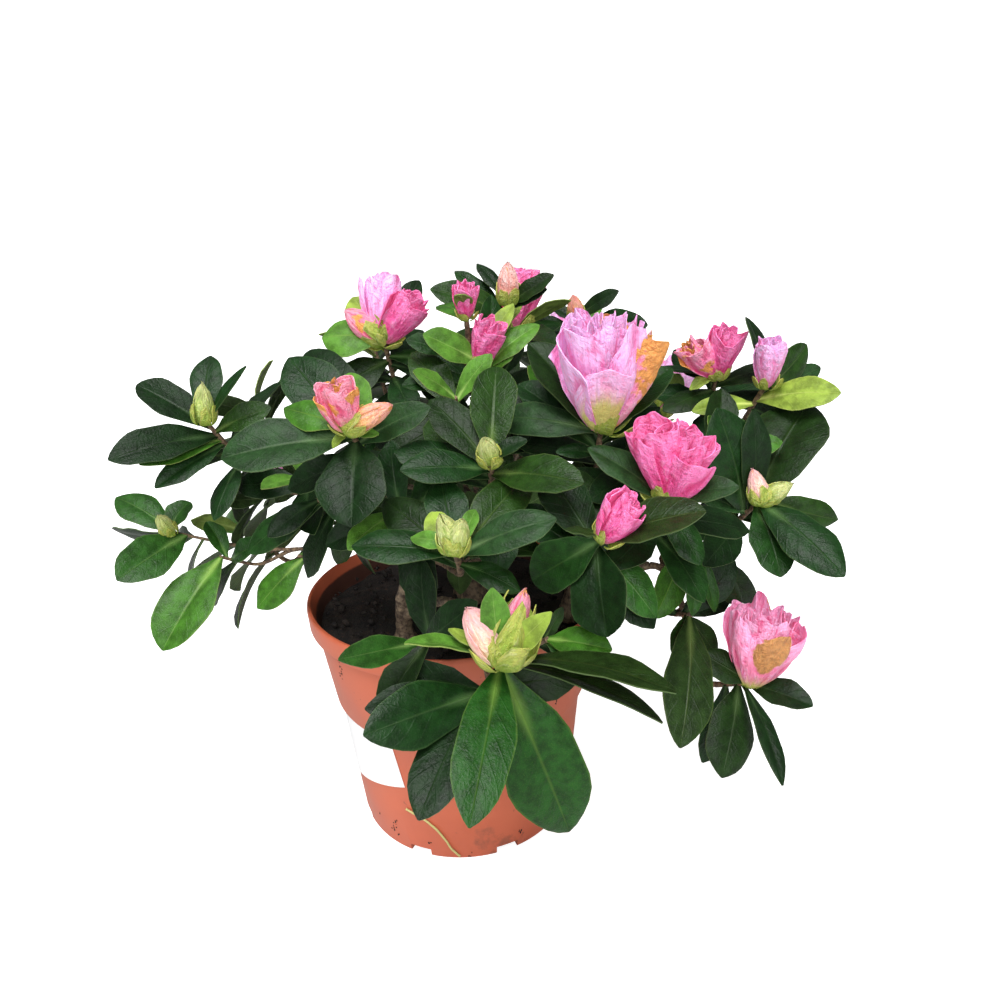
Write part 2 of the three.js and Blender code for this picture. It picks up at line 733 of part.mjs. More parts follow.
// Everything that grows is first laid out as routes and leaves, then made solid
const HUB_SHARE = 0.6;
const TWIG_LEAVING = 0.3;
const TWIG_ARRIVING = 0.35;
function layOut() {
  const stems = {};
  const rods = [];
  const layRods = (curve, steps, radius) => {
    const points = curve.getPoints(steps);
    for (let k = 1; k < points.length; k += 1) rods.push({ from: points[k - 1], to: points[k], radius });
  };
  for (const [name, stem] of Object.entries(STEMS)) {
    stems[name] = { ...stem, curve: stemCurve(stem) };
    layRods(stems[name].curve, STEM_STEPS, stem.thick / 2);
  }
  const masses = [...MASSES, ...backMasses()].map((mass, index) => {
    const shoots = mass.shoots.map((row, k) => makeShoot(row, mass.name, FIRST_SEED + SEED_STEP * index + k));
    const start = stems[mass.stem].curve.getPoint(mass.leave);
    const heart = new THREE.Vector3();
    shoots.forEach((shoot) => heart.addScaledVector(shoot.low, 1 / shoots.length));
    const hub = mass.hub ? polar(...mass.hub) : start.clone().lerp(heart, HUB_SHARE);
    const middle = start.clone().lerp(hub, 0.5);
    middle.z += mass.rise;
    const bough = new THREE.QuadraticBezierCurve3(start, middle, hub);
    layRods(bough, BOUGH_STEPS, BOUGH_FOOT / 2);
    const onward = bough.getTangent(1);
    const root = along(hub, onward, GAP);
    shoots.forEach((shoot, k) => {
      const fork = FORK_FIRST + k * FORK_STEP;
      const from = k === 0 ? root : shoots[0].twig.getPoint(fork);
      shoot.twig = new Twig(shoot, from, k === 0 ? onward : shoots[0].twig.getTangent(fork));
      shoot.foot = k === 0 ? TWIG_FOOT : TWIG_FOOT * FORK_TAPER;
      layRods(shoot.twig, TWIG_STEPS, TWIG_FOOT / 2);
      rods.push(...shootRods(shoot));
    });
    return { ...mass, shoots, bough };
  });
  growLeaves(masses, rods);
  return { stems, masses };
}

const HEAD_FREE = 4;
function shootRods(shoot) {
  const heads = shoot.heads.map(({ foot, direction, length, core }) => {
    const to = along(foot, direction, length - core * HEAD_ROOM);
    return { from: along(foot, direction, HEAD_FREE), to, radius: core, shoot };
  });
  return [...heads, { from: shoot.low, to: shoot.tip, radius: TWIG_TIP / 2, shoot, bare: true }];
}

// What a leaf hides in the photo, at a few places on its blade: blossoms that lie behind it, and open places
function hiding(leaf, heads) {
  let cost = 0;
  for (const across of HIDING_ACROSS) {
    for (const share of HIDING_SHARES) {
      const { x, y, depth } = inPhoto(leaf.at(share, across));
      const inside = (head) => Math.hypot(x - head.x, y - head.y) < head.radius;
      cost += COST.blossom * heads.filter((head) => inside(head) && depth < head.depth).length;
      for (const { left, right, top, bottom, weight } of OPEN_PLACES) {
        if (x > left && x < right && y > top && y < bottom) cost += weight;
      }
    }
  }
  return cost;
}

function headInPhoto({ foot, direction, length, radius }) {
  const { x, y } = inPhoto(along(foot, direction, length * HEAD_MIDDLE));
  const { depth } = inPhoto(foot);
  return { x, y, depth, radius: FOCAL_PIXELS * radius / depth * HEAD_SHARE };
}

// The leaf whose tip comes to its place in the photo: of all lengths, sides and twists, the best with room
function leafInPhoto(shoot, slot, row, heads, isClear) {
  const { seen, width = LEAF_WIDTH, face = LEAF_FACE, stretch = LEAF_STRETCH, over = false } = row;
  const foot = along(shoot.tip, shoot.axis, -slot * LEAF_SPACING);
  const offset = foot.clone().sub(EYE);
  const sight = sightLine(seen);
  const least = along(offset, sight, -offset.dot(sight)).length();
  const half = radians(LEAF_BEND) / 2;
  const bow = half / Math.sin(half);
  const lengths = LENGTHS_TRIED.map((share) => Math.round(least * share * stretch / LEAF_STRETCH * bow));
  const tried = [];
  for (const length of new Set(lengths)) {
    for (const behind of [false, true]) {
      const way = aim(foot, shoot.axis, seen, length / bow, behind);
      for (let twist = -MOST_TWIST; twist <= MOST_TWIST; twist += TWIST_STEP) {
        const leaf = new Leaf(shoot, foot, [way.bearing, way.opening, length, twist, width]);
        const upper = leaf.ahead.clone().multiplyScalar(Math.sin(leaf.arc / 2));
        upper.addScaledVector(leaf.top, Math.cos(leaf.arc / 2));
        const squarely = -upper.dot(leaf.at(0.5).sub(EYE).normalize());
        let cost = Math.abs(squarely - face) * COST.face + Math.abs(twist) * COST.twist;
        cost += Math.max(0, -upper.z) * COST.underside;
        cost += Math.abs(length / (least * LEAF_STRETCH) - 1) * COST.length;
        if (behind) cost += COST.behind;
        if (way.short) cost += COST.short;
        if (way.opening > FOLDED_BACK) cost += COST.foldedBack;
        if (!over) cost += hiding(leaf, heads);
        tried.push({ leaf, cost });
      }
    }
  }
  tried.sort((one, other) => one.cost - other.cost);
  return tried.find(({ leaf, cost }) => cost <= MOST_COST && isClear(leaf))?.leaf;
}

// Leaves read off the photo come first on every shoot, then the spirals fill in. One without room is left out
function growLeaves(masses, rods) {
  const grown = [];
  const isClear = (leaf) => !meetsPot(leaf)
    && !rods.some((rod) => rodMeetsLeaf(rod, leaf))
    && !grown.some((other) => leavesMeet(leaf, other));
  const keep = (shoot, leaf) => {
    if (leaf === undefined) return;
    grown.push(leaf);
    shoot.blades.push(leaf);
  };
  const grow = (shoot, slot, [bearing, opening, ...shape]) => {
    const foot = along(shoot.tip, shoot.axis, -slot * LEAF_SPACING);
    const turned = ([turn, lean]) => new Leaf(shoot, foot, [bearing + turn, opening + lean, ...shape]);
    keep(shoot, TRIES.map(turned).find(isClear));
  };
  const shoots = masses.flatMap((mass) => mass.shoots);
  const front = masses.slice(0, MASSES.length).flatMap((mass) => mass.shoots);
  const heads = front.flatMap((shoot) => shoot.heads).map(headInPhoto);
  shoots.forEach((shoot) => {
    shoot.blades = [];
    shoot.leaves.forEach((row, slot) => {
      keep(shoot, leafInPhoto(shoot, slot, row, heads, isClear));
    });
  });
  shoots.forEach((shoot) => {
    const draw = new Draw(shoot.seed);
    const [count, length, firstBearing] = shoot.spiral;
    for (let k = 0; k < count; k += 1) {
      const slot = shoot.leaves.length + k;
      const share = slot / (shoot.count - 1);
      const bearing = firstBearing + k * SPIRAL_TURN + draw.around(BEARING_SPREAD);
      const opening = mix(FIRST_OPENING, LAST_OPENING, share ** OPENING_CURVE) + draw.around(OPENING_SPREAD);
      const size = mix(YOUNGEST_SIZE, 1, Math.min(1, share * 2)) * (1 + draw.around(LENGTH_SPREAD));
      grow(shoot, slot, [bearing, opening, length * size]);
    }
  });
}

// Solids

// A closed geometry as a solid: its shared corners are merged, then each is moved to its place
const SAME_CORNER = 1e-4;
function solid(geometry, place = (corner) => corner) {
  const bare = new THREE.BufferGeometry();
  bare.setAttribute("position", geometry.getAttribute("position"));
  bare.setIndex(geometry.getIndex());
  const merged = mergeVertices(bare, SAME_CORNER);
  const position = merged.getAttribute("position");
  const placed = [];
  for (let k = 0; k < position.count; k += 1) {
    placed.push(...place(new THREE.Vector3().fromBufferAttribute(position, k)).toArray());
  }
  const corners = merged.getIndex().array;
  const kept = [];
  for (let k = 0; k < corners.length; k += 3) {
    const [a, b, c] = corners.slice(k, k + 3);
    if (a !== b && b !== c && c !== a) kept.push(a, b, c);
  }
  return new wasm.Manifold(new wasm.Mesh({
    numProp: 3,
    vertProperties: new Float32Array(placed),
    triVerts: new Uint32Array(kept),
  }));
}

function fuse(solids) {
  return solids.reduce((whole, next) => whole.add(next));
}

// A cylinder laid along a curve, its radius given for each share of the length
const STEEP = 0.7;
function limb(curve, radiusAt, sides, steps) {
  const chord = curve.getPoint(1).sub(curve.getPoint(0)).normalize();
  const reference = Math.abs(chord.z) < STEEP ? UP : new THREE.Vector3(0, 1, 0);
  return solid(new THREE.CylinderGeometry(1, 1, 1, sides, steps), (corner) => {
    const share = corner.y + 0.5;
    const tangent = curve.getTangent(share);
    const side = reference.clone().cross(tangent).normalize();
    const other = side.clone().cross(tangent);
    const point = along(curve.getPoint(share), side, corner.x * radiusAt(share));
    return along(point, other, corner.z * radiusAt(share));
  });
}

function stemSolid(stem, extra = 0) {
  const radiusAt = (share) => {
    const flare = 1 + FLARE * Math.max(0, 1 - share / FLARE_REACH) ** 2;
    return mix(stem.thick, stem.thin, share) / 2 * flare + extra;
  };
  return limb(stem.curve, radiusAt, STEM_SIDES, STEM_STEPS);
}

function boughLimb(mass, extra = 0) {
  const radiusAt = (share) => mix(BOUGH_FOOT, BOUGH_TIP, share) / 2 + extra;
  return limb(mass.bough, radiusAt, BOUGH_SIDES, BOUGH_STEPS);
}

// A bough starts in its stem, and is cut clear of the stem and of the boughs that were made before it
function boughSolid(mass, stems, others) {
  const clear = boughLimb(mass).subtract(stemSolid(stems[mass.stem], GAP));
  return others.reduce((shape, other) => shape.subtract(boughLimb(other, GAP)), clear);
}

// A three-sided ball drawn out from the twig's middle to the leaf's tip: two of its edges spread to the
// blade's outline and the third is its keel
const BLADE_SHARES = [0, 0.42, 0.82, 1];
function leafSolid(leaf) {
  const ball = new THREE.SphereGeometry(1, 3, BLADE_SHARES.length - 1);
  return solid(ball, ({ x, y, z }) => {
    const share = BLADE_SHARES[Math.round((y + 1) / 2 * (BLADE_SHARES.length - 1))];
    const onKeel = Math.abs(z) < SAME_CORNER;
    const keel = onKeel && x < -SAME_CORNER ? -LEAF_THICKNESS : 0;
    return leaf.at(share, onKeel ? 0 : -Math.sign(z), keel);
  });
}

// A bud or a closed flower is a ball drawn out, widest above or below its middle
function closedHead(head, place) {
  return solid(new THREE.SphereGeometry(1, BUD_SIDES, BUD_RINGS), ({ x, y, z }) => {
    const width = head.radius * (1 + head.swell * y);
    return place(new THREE.Vector3(x * width, (1 + y) / 2 * head.length, z * width));
  });
}

// An open flower is a bell turned from shares of radius and length, its edge ruffled more toward the top
const BELL = [[0, 0], [0.24, 0.08], [0.5, 0.45], [1, 0.86], [0.66, 1], [0, 0.84]];
const RUFFLE_LIFT = 0.4;
function openHead(head, place) {
  const points = BELL.map(([across, up]) => new THREE.Vector2(across * head.radius, up * head.length));
  return solid(new THREE.LatheGeometry(points, FLOWER_SIDES), ({ x, y, z }) => {
    const wave = RUFFLE * Math.cos(RUFFLE_LOBES * Math.atan2(z, x)) * (y / head.length);
    return place(new THREE.Vector3(x * (1 + wave), y * (1 + RUFFLE_LIFT * wave), z * (1 + wave)));
  });
}

function blossomSolid(head) {
  const turn = new THREE.Quaternion().setFromUnitVectors(new THREE.Vector3(0, 1, 0), head.direction);
  const place = (corner) => corner.applyQuaternion(turn).add(head.foot);
  return head.open ? openHead(head, place) : closedHead(head, place);
}

function massSolid(mass) {
  const parts = [];
  mass.shoots.forEach((shoot) => {
    parts.push(limb(shoot.twig, (share) => mix(shoot.foot, TWIG_TIP, share) / 2, TWIG_SIDES, TWIG_STEPS));
    parts.push(...shoot.blades.map(leafSolid));
    parts.push(...shoot.heads.map(blossomSolid));
  });
  return fuse(parts).subtract(boughLimb(mass, GAP));
}

function upright(profile, sides) {
  const points = profile.map(([radius, height]) => new THREE.Vector2(radius, height));
  return new THREE.LatheGeometry(points, sides).rotateX(Math.PI / 2);
}

function wallRadius(height) {
  const collarFoot = POT_HEIGHT - COLLAR_HEIGHT;
  if (height < collarFoot) return mix(BASE_RADIUS, BODY_TOP_RADIUS, height / collarFoot);
  return mix(COLLAR_RADIUS, RIM_RADIUS - LIP_WIDTH, (height - collarFoot) / COLLAR_HEIGHT);
}

function potSolid() {
  const collarFoot = POT_HEIGHT - COLLAR_HEIGHT;
  const lipFoot = POT_HEIGHT - LIP_HEIGHT;
  const shell = solid(upright([
    [0, 0],
    [BASE_RADIUS - 1, 0],
    [BASE_RADIUS, 1],
    [BODY_TOP_RADIUS, collarFoot - 1],
    [COLLAR_RADIUS, collarFoot],
    [wallRadius(lipFoot), lipFoot - 1],
    [RIM_RADIUS - 0.6, lipFoot],
    [RIM_RADIUS, POT_HEIGHT - 1.5],
    [RIM_RADIUS - 0.5, POT_HEIGHT],
    [RIM_RADIUS - LIP_WIDTH, POT_HEIGHT],
    [wallRadius(lipFoot) - WALL, lipFoot],
    [COLLAR_RADIUS - WALL, collarFoot + 1.5],
    [BODY_TOP_RADIUS - WALL, collarFoot],
    [BASE_RADIUS - WALL, FLOOR],
    [0, FLOOR],
  ], POT_SIDES));
  let pot = shell;
  for (let index = 0; index < NOTCHES; index += 1) {
    const notch = new THREE.BoxGeometry(2 * NOTCH_DEPTH, NOTCH_WIDTH, 2 * NOTCH_HEIGHT);
    notch.translate(BASE_RADIUS, 0, 0).rotateZ((index + 0.5) * 2 * Math.PI / NOTCHES);
    pot = pot.subtract(solid(notch));
  }
  return pot;
}

// Room for the flat sides of the pot's wall, which lie nearer the middle than its corners
const FACET_ROOM = 0.4;
function compostSolid() {
  const inside = (height) => wallRadius(height) - WALL - GAP - FACET_ROOM;
  const collarFoot = POT_HEIGHT - COLLAR_HEIGHT;
  const floor = FLOOR + GAP;
  const lowReach = BASE_RADIUS - NOTCH_DEPTH - 1;
  return solid(upright([
    [0, floor],
    [lowReach, floor],
    [inside(NOTCH_HEIGHT + 2), NOTCH_HEIGHT + 2],
    [inside(collarFoot - 1), collarFoot - 1],
    [inside(collarFoot + 3) - FACET_ROOM, collarFoot + 3],
    [inside(COMPOST_TOP - 2), COMPOST_TOP - 2],
    [inside(COMPOST_TOP) - 3, COMPOST_TOP],
    [0, COMPOST_TOP],
  ], COMPOST_SIDES));
}

// The corners of the largest closed surface: fusing can seal in a tiny hollow, or leave a loose scrap
function largestSurface({ vertProperties, triVerts }) {
  const leader = Array.from({ length: vertProperties.length / 3 }, (_, k) => k);
  const lead = (corner) => {
    let top = corner;
    while (leader[top] !== top) top = leader[top];
    leader[corner] = top;
    return top;
  };
  for (let k = 0; k < triVerts.length; k += 3) {
    leader[lead(triVerts[k + 1])] = lead(triVerts[k]);
    leader[lead(triVerts[k + 2])] = lead(triVerts[k]);
  }
  const surfaces = new Map();
  for (let k = 0; k < triVerts.length; k += 3) {
    const top = lead(triVerts[k]);
    if (!surfaces.has(top)) surfaces.set(top, []);
    surfaces.get(top).push(...triVerts.slice(k, k + 3));
  }
  return [...surfaces.values()].reduce((most, next) => (next.length > most.length ? next : most));
}

function piece(name, shape, color, roughness) {
  const mesh = shape.getMesh();
  const geometry = new THREE.BufferGeometry();
  geometry.setAttribute("position", new THREE.BufferAttribute(new Float32Array(mesh.vertProperties), 3));
  geometry.setIndex(new THREE.BufferAttribute(new Uint32Array(largestSurface(mesh)), 1));
  geometry.computeVertexNormals();
  const made = new THREE.Mesh(geometry, new THREE.MeshStandardMaterial({ color, roughness, metalness: 0 }));
  made.name = name;
  return made;
}

function makeAzalea() {
  const azalea = new THREE.Group();
  const { stems, masses } = layOut();
  azalea.add(piece("pot", potSolid(), TERRACOTTA, 0.55));
  azalea.add(piece("compost", compostSolid(), PEAT, 0.95));
  for (const [name, stem] of Object.entries(stems)) azalea.add(piece(name, stemSolid(stem), BARK, 0.85));
  masses.forEach((mass, index) => {
    const others = masses.slice(0, index).filter((other) => other.stem === mass.stem);
    azalea.add(piece(`bough_${mass.name}`, boughSolid(mass, stems, others), BARK, 0.85));
    azalea.add(piece(`foliage_${mass.name}`, massSolid(mass), GREEN, 0.6));
  });
  return azalea;
}

export default makeAzalea();
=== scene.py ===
"""Potted azalea in flower: how it grows, its leaves, blossom, twigs and pot, and the studio"""

import math

import bmesh
import bpy
import numpy as np
from mathutils import Matrix, Vector


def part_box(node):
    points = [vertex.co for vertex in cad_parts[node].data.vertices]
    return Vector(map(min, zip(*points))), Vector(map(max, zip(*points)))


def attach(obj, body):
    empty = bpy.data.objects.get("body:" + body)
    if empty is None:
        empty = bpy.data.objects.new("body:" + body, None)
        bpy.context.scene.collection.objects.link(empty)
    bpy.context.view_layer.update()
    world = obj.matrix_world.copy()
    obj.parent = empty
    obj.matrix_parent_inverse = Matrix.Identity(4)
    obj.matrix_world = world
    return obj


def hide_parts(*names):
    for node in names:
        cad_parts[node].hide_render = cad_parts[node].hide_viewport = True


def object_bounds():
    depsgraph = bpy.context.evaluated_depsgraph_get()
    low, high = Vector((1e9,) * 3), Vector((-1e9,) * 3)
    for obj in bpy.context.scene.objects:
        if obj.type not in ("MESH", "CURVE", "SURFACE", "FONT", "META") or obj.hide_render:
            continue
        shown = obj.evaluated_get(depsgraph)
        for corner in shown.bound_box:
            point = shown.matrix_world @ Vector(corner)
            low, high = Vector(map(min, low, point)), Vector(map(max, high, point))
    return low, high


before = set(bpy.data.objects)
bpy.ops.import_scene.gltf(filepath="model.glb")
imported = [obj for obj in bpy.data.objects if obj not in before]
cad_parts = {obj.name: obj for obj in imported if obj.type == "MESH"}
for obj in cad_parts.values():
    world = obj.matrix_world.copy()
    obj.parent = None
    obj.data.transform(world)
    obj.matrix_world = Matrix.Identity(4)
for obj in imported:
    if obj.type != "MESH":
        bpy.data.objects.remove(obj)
cad_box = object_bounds()

MM = 0.001

# Pot: its height, its rim and the peat's top come from the frame, and its other sizes are the source's
_, pot_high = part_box("pot")
POT_HEIGHT = pot_high.z / MM
RIM_RADIUS = pot_high.x / MM
BASE_RADIUS = 0.75 * RIM_RADIUS
BODY_TOP_RADIUS = 50.4
COLLAR_RADIUS = 52.2
COLLAR_HEIGHT = 41
COLLAR_FOOT = POT_HEIGHT - COLLAR_HEIGHT
LIP_HEIGHT = 8
LIP_WIDTH = 1.6
WALL = 1.4
NOTCHES = 8
NOTCH_WIDTH = 9
NOTCH_HEIGHT = 3.5
COMPOST_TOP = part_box("compost")[1].z / MM

# The growing rule's sizes, in millimetres and degrees
GAP = 0.3
STEMS = {
    "trunk": dict(foot=(6, 8), tip=(10, 14, 130), thick=11, thin=7),
    "stem_left": dict(foot=(-18, -32), tip=(-17, -38, 112), thick=7, thin=4.8),
    "stem_right": dict(foot=(45, -14), tip=(51, -20, 114), thick=7, thin=4.8),
}
FLARE = 0.5
FLARE_REACH = 0.25
STEM_STEPS = 6
BOUGH_FOOT = 4.4
BOUGH_TIP = 3.2
BOUGH_STEPS = 4
TWIG_FOOT = 3.0
TWIG_TIP = 2.6
TWIG_STEPS = 5
TWIG_BENT = 0.8
TWIG_END = 0.8
TWIG_LEAVING = 0.3
TWIG_ARRIVING = 0.35
FORK_FIRST = 0.08
FORK_STEP = 0.12
HUB_SHARE = 0.6
SPIRAL_TURN = 137.5
LEAF_WIDTH = 0.48
LEAF_BEND = 34
LEAF_SPACING = 2.1
YOUNGEST_SIZE = 0.62
FIRST_OPENING = 42
LAST_OPENING = 97
OPENING_CURVE = 0.6
BEARING_SPREAD = 8
OPENING_SPREAD = 6
LENGTH_SPREAD = 0.07
FIRST_SEED = 101
SEED_STEP = 7
BACK_SEED = 72
LEAF_ROOM = 2.1
LEAF_ROOM_IN_MASS = 0.6
LEAF_REACH = 0.56
ROD_ROOM = 0.9
ROD_STEP = 3
POT_ROOM = 2
TRIES = ((0, 0), (9, 0), (-9, 0), (0, -9), (18, -5), (-18, -5), (0, 10), (26, 0), (-26, 0))
HEAD_SUNK = -1.5
HEAD_FREE = 4
HEAD_OUTER = 0.7
HEAD_ROOM = 0.45
BARE_FOOT = 3
NET_SHARES = (0.12, 0.32, 0.52, 0.72, 0.9, 1)
NET_ACROSS = (-0.9, 0, 0.9)
NET_STEPS = 3
FOOT_SHAPE = 1.1
TIP_SHAPE = 0.62
BLOSSOMS = {
    "small": dict(length=13, radius=3.6, core=3.6),
    "bud": dict(length=20, radius=5.2, core=5),
    "half": dict(length=26, radius=8, core=7.5),
    "cup": dict(length=30, radius=13, core=10.5),
    "bloom": dict(length=34, radius=16, core=11),
}

# Twiglets: the finer growth between the main shoots
TWIGLET_SHARES = (0.25, 0.45, 0.65)
TWIGLET_LENGTH = (6, 12)
TWIGLET_OPENING = 50
TWIGLET_LEAVES = 3
TWIGLET_LEAF = (17, 25)
TWIGLET_LEAF_OPENING = (32, 75)
TWIGLET_OPENING_SPREAD = 15
TWIGLET_LOWEST = 130
NEARLY_UPRIGHT = 0.97

# The photo's camera, fitted to the pot's rim, collar and foot: its place, how far it looks down and rolls,
# and its focal length and middle in pixels
EYE = np.array((19, -280, 230))
LOOKS_DOWN = 18.95
ROLL = -1.98
FOCAL_PIXELS = 751
PHOTO_MIDDLE = 500

# A leaf that shows in the photo is given by its tip's pixel, its share of width, how squarely it faces the
# camera, how far it is stretched and whether it may lie over a blossom. Its length, side and twist are the
# cheapest of those tried. Lengths are shares of the shortest that reaches.
LEAF_FACE = 0.85
LEAF_STRETCH = 1.08
LENGTHS_TRIED = (1.01, 1.04, 1.08, 1.15, 1.25)
MOST_TWIST = 80
TWIST_STEP = 10
FOLDED_BACK = 120
MOST_COST = 2.6
COST = dict(
    face=1.2, twist=0.004, underside=0.3, length=0.5, behind=0.1, short=0.5, folded_back=0.3, blossom=0.35,
)

# Pixels that leaves leave open, as left, right, top, bottom and weight: the pot's dark opening, the large
# blossom's foot and the label
OPEN_PLACES = ((315, 400, 560, 632, 0.5), (595, 630, 425, 450, 0.3), (345, 400, 715, 800, 0.1))
HIDING_SHARES = (0.25, 0.45, 0.65, 0.85, 0.97)
HIDING_ACROSS = (-0.8, 0, 0.8)
HEAD_MIDDLE = 0.6
HEAD_SHARE = 0.85

# What a shoot bears unless the plan gives it more
BARE_SHOOT = dict(blossom=(), leaves=())

